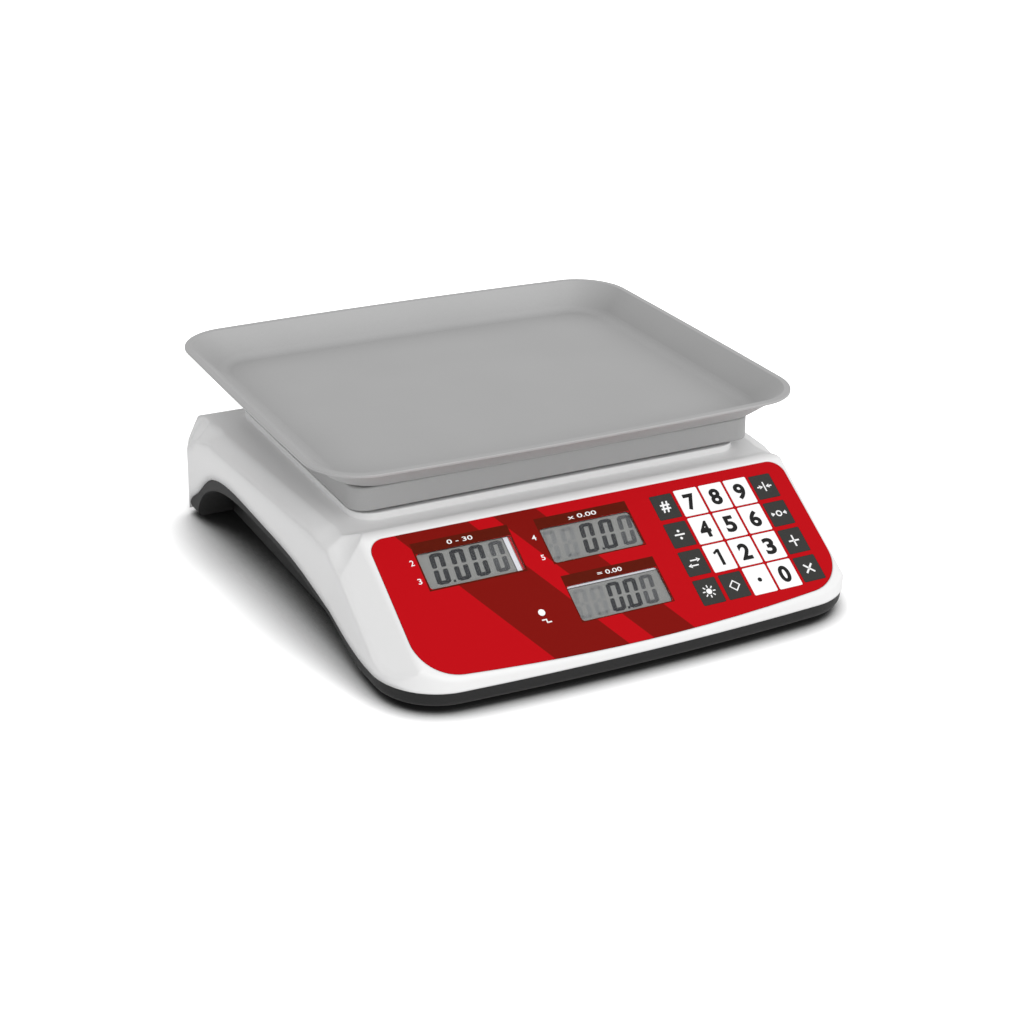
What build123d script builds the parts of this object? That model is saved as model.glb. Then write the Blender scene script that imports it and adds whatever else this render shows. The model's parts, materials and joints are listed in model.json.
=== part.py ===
from build123d import *
import math
import os

# Price-computing counter scale. Millimetres, +X to the right, +Y to the rear, +Z up.
# Z = 0 is the surface that the feet stand on, and X = Y = 0 is the middle of the whole plan.
# Distances called "back" are measured from the front edge of the case towards the rear.

# ---- tray (the removable steel pan) ----
tray_width = 335.0
tray_depth = 274.0
tray_setback = 89.5          # front edge of the case to the front edge of the tray
tray_rim_z = 112.0
tray_base_z = 94.0           # underside of the tray's flat bottom
tray_flare = 18.0            # how far the sloping side runs outwards
tray_lip = 3.5               # flat lip around the rim
tray_sheet = 1.5
tray_corner_r = 36.0
tray_base_r = 26.0
tray_bow_front = 4.5         # how far the front and rear edges bulge
tray_bow_side = 1.0

# ---- case ----
case_depth = 324.0
case_front_width = 317.0
case_rear_width = 343.0
case_taper_back = 103.0      # the sides run parallel as far as this
case_side_bulge = 1.3
case_front_bow = 6.6
case_corner_r = 40.0
case_rear_r = 12.0
case_top_z = 71.0
case_wall = 2.5
crest_z = 78.0               # where the control slope would meet the fall behind it
crest_r = 11.0
cove_back = 106.0
cove_r = 14.0
nose_r = 4.5                 # rounding of the control slope's outer edges
rear_edge_r = 4.0
shoulder_z = 66.0            # height of the crease under the shoulder bevel
rear_lean = 8.0              # the rear face's top edge stands in by this
rear_belt_z = 40.0           # the rear face leans forwards above this height
seam_front_z = 14.5          # seam between the two housings along the front
seam_gap = 0.3
arch_z = 45.3                # highest point of the side arch
arch_start = 54.0            # the seam leaves the straight front line this far back
arch_rise = 94.0             # three points on the arch, counted from the front
arch_rise_drop = 22.8
arch_shoulder = 146.0
arch_shoulder_drop = 7.5
arch_top = 205.0
arch_fall = 44.0             # and two counted from the rear
arch_fall_drop = 6.9
arch_heel = 21.0
arch_heel_drop = 25.8
hollow_start = 50.0          # the finger hollow follows the arch, inside the band
hollow_fall = 50.0
hollow_fall_drop = 6.5
hollow_heel = 30.0
hollow_heel_drop = 21.0
hollow_end = 23.0
hollow_below = 1.0           # the hollow's cut runs out under the base by this
rear_foot_t = 8.0            # the upper housing's rear wall where it reaches down
base_z = 4.5                 # underside of the lower housing
floor_t = 2.5
recess_half = 145.0          # half-width of the base between the two side recesses
recess_wall = 2.5
band_t = 5.0                 # dark band that follows the side arch
base_reveal = 0.8            # the lower housing stands back by this
base_edge_r = 5.0

# ---- side bevels, from the front of the case to its rear ----
bevel_lead = 5.0             # the bevel runs on past the front of the case by this
bevel_trail = 4.0            # and past its rear by this
bevel_front_w = 16.0         # width of the bevel in plan, and drop of its crease, at the front
bevel_front_drop = 27.0
bevel_crest = 88.0           # at the crest
bevel_crest_w = 13.5
bevel_crest_drop = 12.0
bevel_cove_w = 11.5          # where the fall behind the crest meets the top
bevel_cove_rise = 1.5
bevel_cove_out = 0.4
bevel_cove_drop = 2.5
bevel_flat = 125.0           # where the top runs level
bevel_flat_w = 10.5
bevel_flat_out = 0.9
bevel_mid = 135.0            # from here on counted from the rear
bevel_mid_w = 19.0
bevel_mid_in = 6.5
bevel_fall = 48.0
bevel_fall_w = 13.5
bevel_fall_in = 1.0
bevel_fall_drop = 1.0
bevel_heel = 26.0
bevel_heel_w = 12.0
bevel_heel_in = 0.5
bevel_heel_drop = 7.0
bevel_rear_w = 10.5
bevel_rear_drop = 22.0
bevel_end_w = 9.5
bevel_end_drop = 32.0

# ---- sloping control panel ----
panel_angle = 32.2
panel_front_z = 20.5
panel_half = 142.2
panel_low = 1.5
panel_high = 101.8
panel_bow = 8.0
panel_top_r = 10.0
panel_low_r = 26.0
panel_wall = 4.4
circuit_t = 0.5
circuit_r = 10.0
spacer_t = 0.6
film_t = 0.5
fit_gap = 0.2                # clearance around keys, windows and the overlay

# ---- keys ----
key_cols = 5
key_rows = 4
key_pitch_u = 18.2
key_pitch_v = 20.7
key_first_u = 49.9
key_first_v = 84.6
key_w = 16.5
key_h = 19.3
dark_key_w = 15.5
dark_key_h = 17.5
key_r = 0.8
dome_d = 8.0
dome_t = 0.12

# ---- displays ----
window_w = 61.4
window_h = 24.4
window_r = 2.0
weight_u = -86.4
price_u = -6.1
upper_row_v = 75.0
lower_row_v = 34.2
lcd_w = 66.0
lcd_h = 29.0
lcd_t = 2.8
lcd_set_back = 0.7           # underside of the window to the viewing glass
backlight_t = 3.0
board_t = 1.6
stack_gap = 0.1
led_u = -58.8
led_v = 33.2
led_d = 4.0
led_flange = 0.4
led_flange_t = 1.0

# ---- platform and load cell ----
support_width = 278.6
support_depth = 196.0
support_front_back = 117.0   # front edge of the case to the front of the support
support_low_z = 78.2
support_corner_r = 11.0
support_wall = 3.0
pad_t = 1.0
seat_gap = 0.3
cell_length = 130.0
cell_width = 30.0
cell_height = 22.0
cell_spacer = 6.0
cell_lobe_pitch = 20.0       # the double-lobed hole through the middle of the cell
cell_lobe_d = 17.6
cell_slot_h = 8.0
cell_bolt_inset = 10.0       # end of the load cell to its first bolt
cell_bolt_pitch = 15.0
bolt_d = 6.0
bolt_clear = 0.05
bracket_t = 4.0
bracket_length = 230.0
bracket_width = 150.0
bracket_arm = 26.0           # edge of the bracket to its lightening holes
bracket_r = 12.0
platform_shift = 3.2         # the platform and its tray stand this far to the right
platform_travel = 0.6        # give of the load cell before the overload stop
column_clear = 3.0
ridge_half = 135.0
ridge_inset = 4.0            # rear top edge of the case to the ridge around the well
ridge_width = 5.0
ridge_height = 4.5
ridge_corner_r = 16.0
well_setback = 5.0           # front of the tray support to the front of the well

# ---- feet ----
foot_pad_d = 28.0
foot_pad_h = 4.2
foot_stud_d = 8.0
foot_stud_clear = 0.05
foot_boss_d = 15.0
foot_boss_top = 22.0
foot_x = 122.0
foot_front_back = 48.0
foot_rear_inset = 28.0

# ---- customer display in the rear face ----
rear_wall = 3.2
rear_panel_w = 236.0
rear_panel_h = 27.0
rear_panel_v = 16.0
rear_panel_r = 4.0
rear_window_h = 19.0
rear_window_pitch = 76.0
rear_lcd_h = 23.0

# ---- case bosses, screws and boards ----
boss_d = 9.0
boss_wall = 1.5
boss_x = 133.0
boss_front_back = 70.0
boss_rear_inset = 34.0
screw_boss_h = 3.0
case_screw_d = 3.5
case_screw_length = 16.0
case_head_d = 7.0
case_head_h = 2.5
thread_clear = 0.05
standoff_d = 6.0
standoff_inset = 4.0         # edge of a board to its screws
board_screw_d = 2.5
board_screw_length = 5.0
board_head_d = 5.0
board_head_h = 1.6
main_board_w = 96.0
main_board_h = 62.0
main_board_x = 84.0
main_board_back = 106.0
main_board_lift = 6.0
chip_w = 18.0
small_chip_w = 9.0
chip_h = 2.2
capacitor_d = 10.0
capacitor_h = 14.0
header_l = 22.0
header_w = 6.0
header_h = 7.0
stop_d = 6.0
stop_boss_d = 13.0
bolt_bite = 1.5
bolt_head_d = 10.0
bolt_head_h = 4.0
level_x = -104.0
level_d = 18.0
level_h = 7.0
level_flange = 2.0
level_flange_t = 1.2

# ---- power inlet and switch in the right-hand hollow ----
inlet_inset = 130.0          # rear edge of the case to the middle of the inlet
inlet_w = 27.0
inlet_h = 20.0
inlet_z = 22.0
inlet_depth = 22.0
switch_inset = 84.0
switch_w = 21.0
switch_h = 15.0
switch_z = 21.0
switch_depth = 15.0
flange_t = 1.5
flange_edge = 2.0
inlet_pin_w = 2.0
inlet_pin_h = 4.0
inlet_pin_pitch = 7.0
inlet_pin_step = 2.0         # the middle pin stands higher and the outer two lower
inlet_wall = 1.6
inlet_back_t = 4.0
rocker_r = 8.6
rocker_h = 10.4
rocker_set_in = 2.5          # pivot behind the frame's face
rocker_high = 4.6            # proud end of the rocker's face, from the pivot
rocker_low = 2.2             # its middle and its pressed end
rocker_pin_d = 2.0
rocker_pin_gap = 1.0

# ---- battery and transformer ----
battery_l = 101.0
battery_w = 70.0
battery_h = 47.0
battery_x = -80.0
battery_back = 150.0
tab_inset = 8.0              # the two flat terminals on top of the battery
tab_pitch = 24.0
tab_w = 6.3
tab_t = 0.8
tab_h = 5.5
strap_w = 16.0
strap_t = 1.0
strap_foot = 8.0
transformer_l = 48.0
transformer_w = 30.0
transformer_h = 40.0
transformer_ear = 10.0       # fixing ears at both ends of the core
transformer_ear_w = 14.0
transformer_ear_t = 1.2
transformer_yoke = 7.0       # core above and below the windings
winding_proud = 9.0
winding_r = 3.0
transformer_x = 84.0
transformer_inset = 60.0

# ---- small hardware of the platform ----
hole_d = 16.0                # lightening holes in the platform bracket
hole_pitch = 60.0
support_screw_d = 4.0
support_head_d = 7.6
support_head_h = 1.6
support_draft = 2.0
support_edge_r = 1.5
support_screw_x = 80.0
support_screw_y = 62.0
tray_pin_d = 7.6
tray_pin_h = 5.0
pin_clear = 0.7
pin_x = 124.0
pin_y = 84.0
pad_d = 18.0
tray_outer_bend = 14.0
tray_inner_bend = 12.5
tray_rim_edge = 0.5
foot_pad_edge = 0.6
foot_stud_length = 16.0

# ---- values worked out from the sizes above ----
overall_depth = tray_setback + tray_depth
front_y = -overall_depth / 2
rear_y = front_y + case_depth
tray_y = front_y + tray_setback + tray_depth / 2
floor_z = base_z + floor_t
front_half = case_front_width / 2
rear_half = case_rear_width / 2
slope = math.radians(panel_angle)
recess_depth = circuit_t + spacer_t + film_t
support_y = front_y + support_front_back + support_depth / 2
support_top_z = tray_base_z - seat_gap - pad_t
cell_z = floor_z + cell_spacer
stop_gap = platform_travel + seam_gap
cell_top_z = cell_z + cell_height
cell_end_x = cell_length / 2 - cell_bolt_inset - cell_bolt_pitch / 2
bracket_top_z = support_top_z - support_wall
bracket_z = bracket_top_z - bracket_t
column_length = cell_bolt_pitch + 14.0
column_width = cell_width - 2.0
well_half = ridge_half - ridge_width
well_front = front_y + support_front_back + well_setback
well_rear = rear_y - rear_lean - ridge_width - ridge_inset
well_y = (well_front + well_rear) / 2
well_depth = well_rear - well_front
level_y = well_front + 26.0
foot_places = [
    (x, front_y + back) for back in (foot_front_back, case_depth - foot_rear_inset) for x in (-foot_x, foot_x)
]
boss_places = [
    (x, front_y + back) for back in (boss_front_back, case_depth - boss_rear_inset) for x in (-boss_x, boss_x)
]
lcd_depth = panel_wall + stack_gap           # depths are measured below the panel's surface
backlight_depth = lcd_depth + lcd_t + stack_gap
board_depth = backlight_depth + backlight_t + stack_gap
board_w = price_u - weight_u + lcd_w + 16.0
board_h = upper_row_v - lower_row_v + lcd_h + 8.0
board_u = (weight_u + price_u) / 2
board_v = (upper_row_v + lower_row_v) / 2
standoff_places = [
    (board_u + sx * (board_w / 2 - standoff_inset), board_v + sy * (board_h / 2 - standoff_inset))
    for sx in (-1, 1) for sy in (-1, 1)
]
rear_lcd_depth = rear_wall + stack_gap
rear_board_depth = rear_lcd_depth + lcd_t + stack_gap
rear_board_w = 2 * rear_window_pitch + lcd_w + 14.0
rear_standoff_places = [
    (standoff_inset - rear_board_w / 2, rear_panel_v), (rear_board_w / 2 - standoff_inset, rear_panel_v),
]
rear_window_places = [(side * rear_window_pitch, rear_panel_v) for side in (-1, 0, 1)]
battery_y = front_y + battery_back
transformer_y = rear_y - transformer_inset
support_screw_places = [
    (platform_shift + sx * support_screw_x, support_y + sy * support_screw_y)
    for sx in (-1, 1) for sy in (-1, 1)
]
pin_places = [
    (platform_shift + sx * pin_x, support_y + sy * pin_y) for sx in (-1, 1) for sy in (-1, 1)
]
main_board_y = front_y + main_board_back
main_board_standoffs = [
    (
        main_board_x + sx * (main_board_w / 2 - standoff_inset),
        main_board_y + sy * (main_board_h / 2 - standoff_inset),
    )
    for sx in (-1, 1) for sy in (-1, 1)
]
inlet_y = rear_y - inlet_inset
switch_y = rear_y - switch_inset
far = 600.0                  # longer than the object, for cutting tools

panel_plane = Plane(
    origin=(0, front_y, panel_front_z),
    x_dir=(1, 0, 0),
    z_dir=(0, -math.sin(slope), math.cos(slope)),
)
rear_tilt = math.atan2(rear_lean, case_top_z - rear_belt_z)
rear_plane = Plane(
    origin=(0, rear_y, rear_belt_z),
    x_dir=(-1, 0, 0),
    z_dir=(0, math.cos(rear_tilt), math.sin(rear_tilt)),
)

os.makedirs("parts", exist_ok=True)


def save(builder, name):
    """Label a finished piece and write it as its own STEP file."""
    builder.part.label = name
    export_step(builder.part, "parts/" + name + ".step")


# ---------------------------------------------------------------- outlines
def case_plan(inset):
    """Plan of the case: bowed front, parallel then flaring sides, rounded corners."""
    half_f = front_half - inset
    half_r = rear_half - inset
    y_f = front_y + inset
    y_r = rear_y - inset
    y_t = front_y + case_taper_back
    y_corner = y_f + case_front_bow
    bulge = case_side_bulge + (half_f + half_r) / 2
    with BuildSketch() as plan:
        with BuildLine():
            ThreePointArc((-half_f, y_corner), (0, y_f), (half_f, y_corner))
            Line((half_f, y_corner), (half_f, y_t))
            ThreePointArc((half_f, y_t), (bulge, (y_t + y_r) / 2), (half_r, y_r))
            Line((half_r, y_r), (-half_r, y_r))
            ThreePointArc((-half_r, y_r), (-bulge, (y_t + y_r) / 2), (-half_f, y_t))
            Line((-half_f, y_t), (-half_f, y_corner))
        make_face()
        fillet(plan.vertices().group_by(Axis.Y)[0], case_corner_r - inset)
        fillet(plan.vertices().group_by(Axis.Y)[-1], case_rear_r - inset)
    return plan.sketch


def tray_plan(width, depth, corner_r, bow_share):
    """Rounded rectangle whose four edges bulge a little, about the tray's middle."""
    half_x = width / 2
    half_y = depth / 2
    bow_y = tray_bow_front * bow_share
    bow_x = tray_bow_side * bow_share
    corner_x = half_x - bow_x
    corner_y = half_y - bow_y
    with BuildSketch() as plan:
        with BuildLine():
            ThreePointArc((-corner_x, -corner_y), (0, -half_y), (corner_x, -corner_y))
            ThreePointArc((corner_x, -corner_y), (half_x, 0), (corner_x, corner_y))
            ThreePointArc((corner_x, corner_y), (0, half_y), (-corner_x, corner_y))
            ThreePointArc((-corner_x, corner_y), (-half_x, 0), (-corner_x, -corner_y))
        make_face()
        fillet(plan.vertices(), corner_r)
    return plan.sketch


def panel_outline(inset):
    """Outline of the red overlay in the panel plane: bowed low edge, four rounded corners."""
    half = panel_half - inset
    low = panel_low + inset
    high = panel_high - inset
    with BuildSketch() as outline:
        with BuildLine():
            ThreePointArc((-half, low + panel_bow), (0, low), (half, low + panel_bow))
            Line((half, low + panel_bow), (half, high))
            Line((half, high), (-half, high))
            Line((-half, high), (-half, low + panel_bow))
        make_face()
        fillet(outline.vertices().group_by(Axis.Y)[0], panel_low_r - inset)
        fillet(outline.vertices().group_by(Axis.Y)[-1], panel_top_r - inset)
    return outline.sketch


def seam_region(drop):
    """Everything under the seam line, in the YZ plane: low front, side arch, rear foot."""
    y_start = front_y - 20
    y_foot = rear_y - rear_foot_t - drop
    z_f = seam_front_z - drop
    with BuildSketch() as region:
        with BuildLine():
            Line((y_start, -far), (y_start, z_f))
            Line((y_start, z_f), (front_y + arch_start, z_f))
            Spline(
                (front_y + arch_start, z_f),
                (front_y + arch_rise, arch_z - arch_rise_drop - drop),
                (front_y + arch_shoulder, arch_z - arch_shoulder_drop - drop),
                (front_y + arch_top, arch_z - drop),
                (rear_y - arch_fall, arch_z - arch_fall_drop - drop),
                (rear_y - arch_heel, arch_z - arch_heel_drop - drop),
                (y_foot, base_z),
                tangents=((1, 0.05), (0.15, -1)),
            )
            Line((y_foot, base_z), (y_foot, -far))
            Line((y_foot, -far), (y_start, -far))
        make_face()
    return region.sketch


def recess_region():
    """The hollow under each side arch, in the YZ plane."""
    y_start = front_y + hollow_start
    y_end = rear_y - hollow_end
    z_low = base_z - hollow_below
    z_arch = arch_z - band_t
    with BuildSketch() as region:
        with BuildLine():
            Spline(
                (y_start, z_low),
                (front_y + arch_rise, z_arch - arch_rise_drop),
                (front_y + arch_shoulder, z_arch - arch_shoulder_drop),
                (front_y + arch_top, z_arch),
                (rear_y - hollow_fall, z_arch - hollow_fall_drop),
                (rear_y - hollow_heel, z_arch - hollow_heel_drop),
                (y_end, z_low),
                tangents=((1, 0.25), (0.15, -1)),
            )
            Line((y_end, z_low), (y_start, z_low))
        make_face()
    return region.sketch


def case_profile(inset, panel_inset, rear_inset):
    """Side view of the case's top: control slope, crest, flat top and leaning rear face."""
    rise = math.tan(slope)
    drop = panel_inset / math.cos(slope)
    shift = rear_inset / math.cos(rear_tilt)
    peak = crest_z - inset
    top = case_top_z - inset
    peak_y = front_y + (peak - panel_front_z + drop) / rise
    rear_top_y = rear_y - rear_lean - shift + inset * math.tan(rear_tilt)
    run_on = 60.0
    y_start = front_y - run_on
    y_end = rear_top_y + run_on * math.tan(rear_tilt)
    with BuildSketch() as profile:
        with BuildLine():
            Polyline(
                (y_start, -far), (y_start, panel_front_z - run_on * rise - drop),
                (peak_y, peak), (front_y + cove_back, top),
                (rear_top_y, top), (y_end, top - run_on), (y_end, -far),
                close=True,
            )
        make_face()
        fillet(profile.vertices().filter_by(lambda v: abs(v.X - peak_y) < 0.1), crest_r)
        fillet(profile.vertices().filter_by(lambda v: abs(v.X - front_y - cove_back) < 0.1), cove_r)
        fillet(profile.vertices().filter_by(lambda v: abs(v.X - rear_top_y) < 0.1), rear_edge_r)
    return profile.sketch


# Side bevels at stations along the case: place along Y, half-width and height of the
# bevel's top edge, half-width and height of the crease at its foot.
bevel_stations = [
    (
        front_y - bevel_lead, front_half - bevel_front_w, panel_front_z - bevel_lead * math.tan(slope),
        front_half, panel_front_z - bevel_front_drop,
    ),
    (
        front_y + bevel_crest, front_half - bevel_crest_w, panel_front_z + bevel_crest * math.tan(slope),
        front_half, shoulder_z - bevel_crest_drop,
    ),
    (
        front_y + cove_back, front_half - bevel_cove_w, case_top_z + bevel_cove_rise,
        front_half + bevel_cove_out, shoulder_z - bevel_cove_drop,
    ),
    (
        front_y + bevel_flat, front_half - bevel_flat_w, case_top_z,
        front_half + bevel_flat_out, shoulder_z,
    ),
    (rear_y - bevel_mid, rear_half - bevel_mid_w, case_top_z, rear_half - bevel_mid_in, shoulder_z),
    (
        rear_y - bevel_fall, rear_half - bevel_fall_w, case_top_z,
        rear_half - bevel_fall_in, shoulder_z - bevel_fall_drop,
    ),
    (
        rear_y - bevel_heel, rear_half - bevel_heel_w, case_top_z,
        rear_half - bevel_heel_in, shoulder_z - bevel_heel_drop,
    ),
    (rear_y - rear_lean, rear_half - bevel_rear_w, case_top_z, rear_half, shoulder_z - bevel_rear_drop),
    (rear_y + bevel_trail, rear_half - bevel_end_w, case_top_z, rear_half, shoulder_z - bevel_end_drop),
]


def case_block(inset, panel_inset, rear_inset):
    """The case's outer form, or its cavity when it is drawn in by the walls."""
    wide = rear_half + 6.0
    high = case_top_z + 40.0
    with BuildPart() as block:
        for place, half_top, z_top, half_belt, z_belt in bevel_stations:
            fall = (z_top - z_belt) / (half_belt - half_top)
            z_side = z_top - fall * (wide - half_top) - inset * 1.2
            x_high = wide - (high - z_side) / fall
            with BuildSketch(Plane.XZ.offset(-place)):
                Polygon(
                    (-wide, -far), (wide, -far), (wide, z_side),
                    (x_high, high), (-x_high, high), (-wide, z_side),
                    align=None,
                )
        loft(ruled=True)
        with BuildSketch(Plane.YZ.offset(-far / 2)):
            add(case_profile(inset, panel_inset, rear_inset))
        extrude(amount=far, mode=Mode.INTERSECT)
        with BuildSketch(Plane.XY.offset(-far / 4)):
            add(case_plan(inset))
        extrude(amount=far, mode=Mode.INTERSECT)
    return block.part


def window_places():
    """Centres of the three front display windows in the panel plane."""
    return [(weight_u, upper_row_v), (price_u, upper_row_v), (price_u, lower_row_v)]


def is_dark(row, col):
    """Function keys: both outer columns, and the key left of the decimal point."""
    return col in (0, key_cols - 1) or (row == key_rows - 1 and col == 1)


def key_size(row, col, grow):
    """Width and height of a key, or of its opening when grown by the fit gap."""
    if is_dark(row, col):
        return dark_key_w + 2 * grow, dark_key_h + 2 * grow
    return key_w + 2 * grow, key_h + 2 * grow


def key_centre(row, col):
    """Centre of a key in the panel plane."""
    return key_first_u + col * key_pitch_u, key_first_v - row * key_pitch_v


def cell_bolts(x_middle):
    """The two bolt places at one end of the load cell."""
    return [(x_middle - cell_bolt_pitch / 2, support_y), (x_middle + cell_bolt_pitch / 2, support_y)]


# ---------------------------------------------------------------- upper housing
def on_slope(edge):
    """True for edges that bound the control slope at the front and the sides."""
    place = edge.center()
    above = place.Z - panel_front_z - (place.Y - front_y) * math.tan(slope)
    return abs(above) < 1.5


inner_block = case_block(case_wall, panel_wall, rear_wall)

with BuildPart() as outer_form:
    add(case_block(0.0, 0.0, 0.0))
    fillet(outer_form.edges().filter_by(on_slope), nose_r)

with BuildPart() as case_bosses:
    with BuildSketch(Plane.XY.offset(floor_z + screw_boss_h + seam_gap)):
        with Locations(*boss_places):
            Circle(boss_d / 2)
    extrude(amount=far)
    add(inner_block, mode=Mode.INTERSECT)

with BuildPart() as upper_housing:
    add(outer_form.part)
    with BuildSketch(Plane.XY.offset(case_top_z - case_wall)):
        with Locations((0, well_y)):
            RectangleRounded(2 * ridge_half, well_depth + 2 * ridge_width, ridge_corner_r)
            RectangleRounded(2 * well_half, well_depth, ridge_corner_r - ridge_width, mode=Mode.SUBTRACT)
    extrude(amount=case_wall + ridge_height)
    add(inner_block, mode=Mode.SUBTRACT)
    with BuildSketch(Plane.YZ.offset(-far / 2)):
        add(seam_region(0))
    extrude(amount=far, mode=Mode.SUBTRACT)
    with BuildSketch(Plane.XY.offset(base_z)):
        Rectangle(far, far)
    extrude(amount=-far, mode=Mode.SUBTRACT)
    add(case_bosses.part)
    # standoffs for the two display boards
    with BuildSketch(panel_plane.offset(-panel_wall)):
        with Locations(*standoff_places):
            Circle(standoff_d / 2)
    extrude(amount=panel_wall - board_depth)
    with BuildSketch(rear_plane.offset(-rear_wall)):
        with Locations(*rear_standoff_places):
            Circle(standoff_d / 2)
    extrude(amount=rear_wall - rear_board_depth)
    # recess for the control overlay, with the display and lamp openings behind it
    with BuildSketch(panel_plane):
        add(panel_outline(-fit_gap))
    extrude(amount=-recess_depth, mode=Mode.SUBTRACT)
    with BuildSketch(panel_plane):
        with Locations(*window_places()):
            RectangleRounded(window_w, window_h, window_r)
        with Locations((led_u, led_v)):
            Circle(led_d / 2 + fit_gap)
    extrude(amount=-panel_wall - 1, mode=Mode.SUBTRACT)
    # the same for the customer display in the rear face
    with BuildSketch(rear_plane):
        with Locations((0, rear_panel_v)):
            RectangleRounded(rear_panel_w + 2 * fit_gap, rear_panel_h + 2 * fit_gap, rear_panel_r)
    extrude(amount=-film_t, mode=Mode.SUBTRACT)
    with BuildSketch(rear_plane):
        with Locations(*rear_window_places):
            RectangleRounded(window_w, rear_window_h, window_r)
    extrude(amount=-rear_wall - 1, mode=Mode.SUBTRACT)
    # openings in the well for the platform column and the spirit level
    with BuildSketch(Plane.XY.offset(case_top_z + ridge_height)):
        with Locations((cell_end_x, support_y)):
            RectangleRounded(column_length + 2 * column_clear, column_width + 2 * column_clear, column_clear)
        with Locations((level_x, level_y)):
            Circle(level_d / 2 + fit_gap)
    extrude(amount=-ridge_height - 2 * case_wall, mode=Mode.SUBTRACT)
    # screw holes up into the bosses and standoffs
    with BuildSketch(Plane.XY.offset(floor_z)):
        with Locations(*boss_places):
            Circle(case_screw_d / 2 + thread_clear)
    extrude(amount=case_screw_length + 2, mode=Mode.SUBTRACT)
    with BuildSketch(panel_plane.offset(-board_depth)):
        with Locations(*standoff_places):
            Circle(board_screw_d / 2 + thread_clear)
    extrude(amount=board_screw_length, mode=Mode.SUBTRACT)
    with BuildSketch(rear_plane.offset(-rear_board_depth)):
        with Locations(*rear_standoff_places):
            Circle(board_screw_d / 2 + thread_clear)
    extrude(amount=board_screw_length - 1, mode=Mode.SUBTRACT)
save(upper_housing, "upper_housing")

# ---------------------------------------------------------------- lower housing
with BuildPart() as lower_housing:
    with BuildSketch(Plane.XY.offset(base_z)):
        add(case_plan(base_reveal))
    extrude(amount=arch_z)
    fillet(lower_housing.edges().group_by(Axis.Z)[0], base_edge_r)
    with BuildSketch(Plane.YZ.offset(-far / 2)):
        add(seam_region(seam_gap))
    extrude(amount=far, mode=Mode.INTERSECT)
    # the finger hollows under the arches
    for side in (1, -1):
        with BuildSketch(Plane.YZ.offset(side * recess_half)):
            add(recess_region())
        extrude(amount=side * case_rear_width, mode=Mode.SUBTRACT)
    # the tray-like inside
    with BuildSketch(Plane.XY.offset(floor_z)):
        add(case_plan(base_reveal + case_wall))
        with Locations((0, front_y)):
            Rectangle(
                2 * (recess_half - recess_wall), 2 * (rear_y - front_y - rear_foot_t - seam_gap - case_wall),
                mode=Mode.INTERSECT,
            )
    extrude(amount=far, mode=Mode.SUBTRACT)
    # bosses: feet, case screws, board standoffs, overload stop
    with BuildSketch(Plane.XY.offset(floor_z)):
        with Locations(*foot_places):
            Circle(foot_boss_d / 2)
    extrude(amount=foot_boss_top - floor_z)
    with BuildSketch(Plane.XY.offset(floor_z)):
        with Locations(*boss_places):
            Circle(boss_d / 2 + boss_wall)
        with Locations((cell_end_x, support_y)):
            Circle(stop_boss_d / 2)
    extrude(amount=screw_boss_h)
    with BuildSketch(Plane.XY.offset(floor_z)):
        with Locations(*main_board_standoffs):
            Circle(standoff_d / 2)
    extrude(amount=main_board_lift)
    # holes
    with BuildSketch(Plane.XY.offset(base_z)):
        with Locations(*foot_places):
            Circle(foot_stud_d / 2 + foot_stud_clear)
    extrude(amount=far / 4, mode=Mode.SUBTRACT)
    with BuildSketch(Plane.XY.offset(base_z)):
        with Locations(*boss_places):
            Circle(case_screw_d / 2 + thread_clear)
        with Locations((cell_end_x, support_y)):
            Circle(stop_d / 2 + thread_clear)
    extrude(amount=far / 4, mode=Mode.SUBTRACT)
    with BuildSketch(Plane.XY.offset(base_z)):
        with Locations(*boss_places):
            Circle(case_head_d / 2 + fit_gap)
    extrude(amount=case_head_h, mode=Mode.SUBTRACT)
    with BuildSketch(Plane.XY.offset(floor_z)):
        with Locations(*cell_bolts(-cell_end_x)):
            Circle(bolt_d / 2 + bolt_clear)
    extrude(amount=-bolt_bite - 0.2, mode=Mode.SUBTRACT)
    with BuildSketch(Plane.XY.offset(floor_z)):
        with Locations(*main_board_standoffs):
            Circle(board_screw_d / 2 + thread_clear)
    extrude(amount=main_board_lift + 1, mode=Mode.SUBTRACT)
    # power inlet and switch openings in the right-hand recess wall
    with BuildSketch(Plane.YZ.offset(recess_half + 1)):
        with Locations((inlet_y, inlet_z)):
            Rectangle(inlet_w + 2 * fit_gap, inlet_h + 2 * fit_gap)
        with Locations((switch_y, switch_z)):
            Rectangle(switch_w + 2 * fit_gap, switch_h + 2 * fit_gap)
    extrude(amount=-recess_wall - 2, mode=Mode.SUBTRACT)
save(lower_housing, "lower_housing")

# ---------------------------------------------------------------- overlay stack on the panel
keypad_u = key_first_u + (key_cols - 1) * key_pitch_u / 2
keypad_v = key_first_v - (key_rows - 1) * key_pitch_v / 2
circuit_w = key_cols * key_pitch_u + 4
circuit_h = key_rows * key_pitch_v + 2
key_names = [
    ["key_count", "key_7", "key_8", "key_9", "key_tare"],
    ["key_change", "key_4", "key_5", "key_6", "key_zero"],
    ["key_unit", "key_1", "key_2", "key_3", "key_plus"],
    ["key_light", "key_memory", "key_point", "key_0", "key_clear"],
]
key_grid = [(row, col) for row in range(key_rows) for col in range(key_cols)]


def cut_openings(plane, depth):
    """Sketch of the openings that the overlay and the spacer share."""
    with BuildSketch(plane) as openings:
        for row, col in key_grid:
            with Locations(key_centre(row, col)):
                RectangleRounded(*key_size(row, col, fit_gap), key_r + fit_gap)
        with Locations(*window_places()):
            RectangleRounded(window_w, window_h, window_r)
        with Locations((led_u, led_v)):
            Circle(led_d / 2 + fit_gap)
    return openings.sketch


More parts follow.
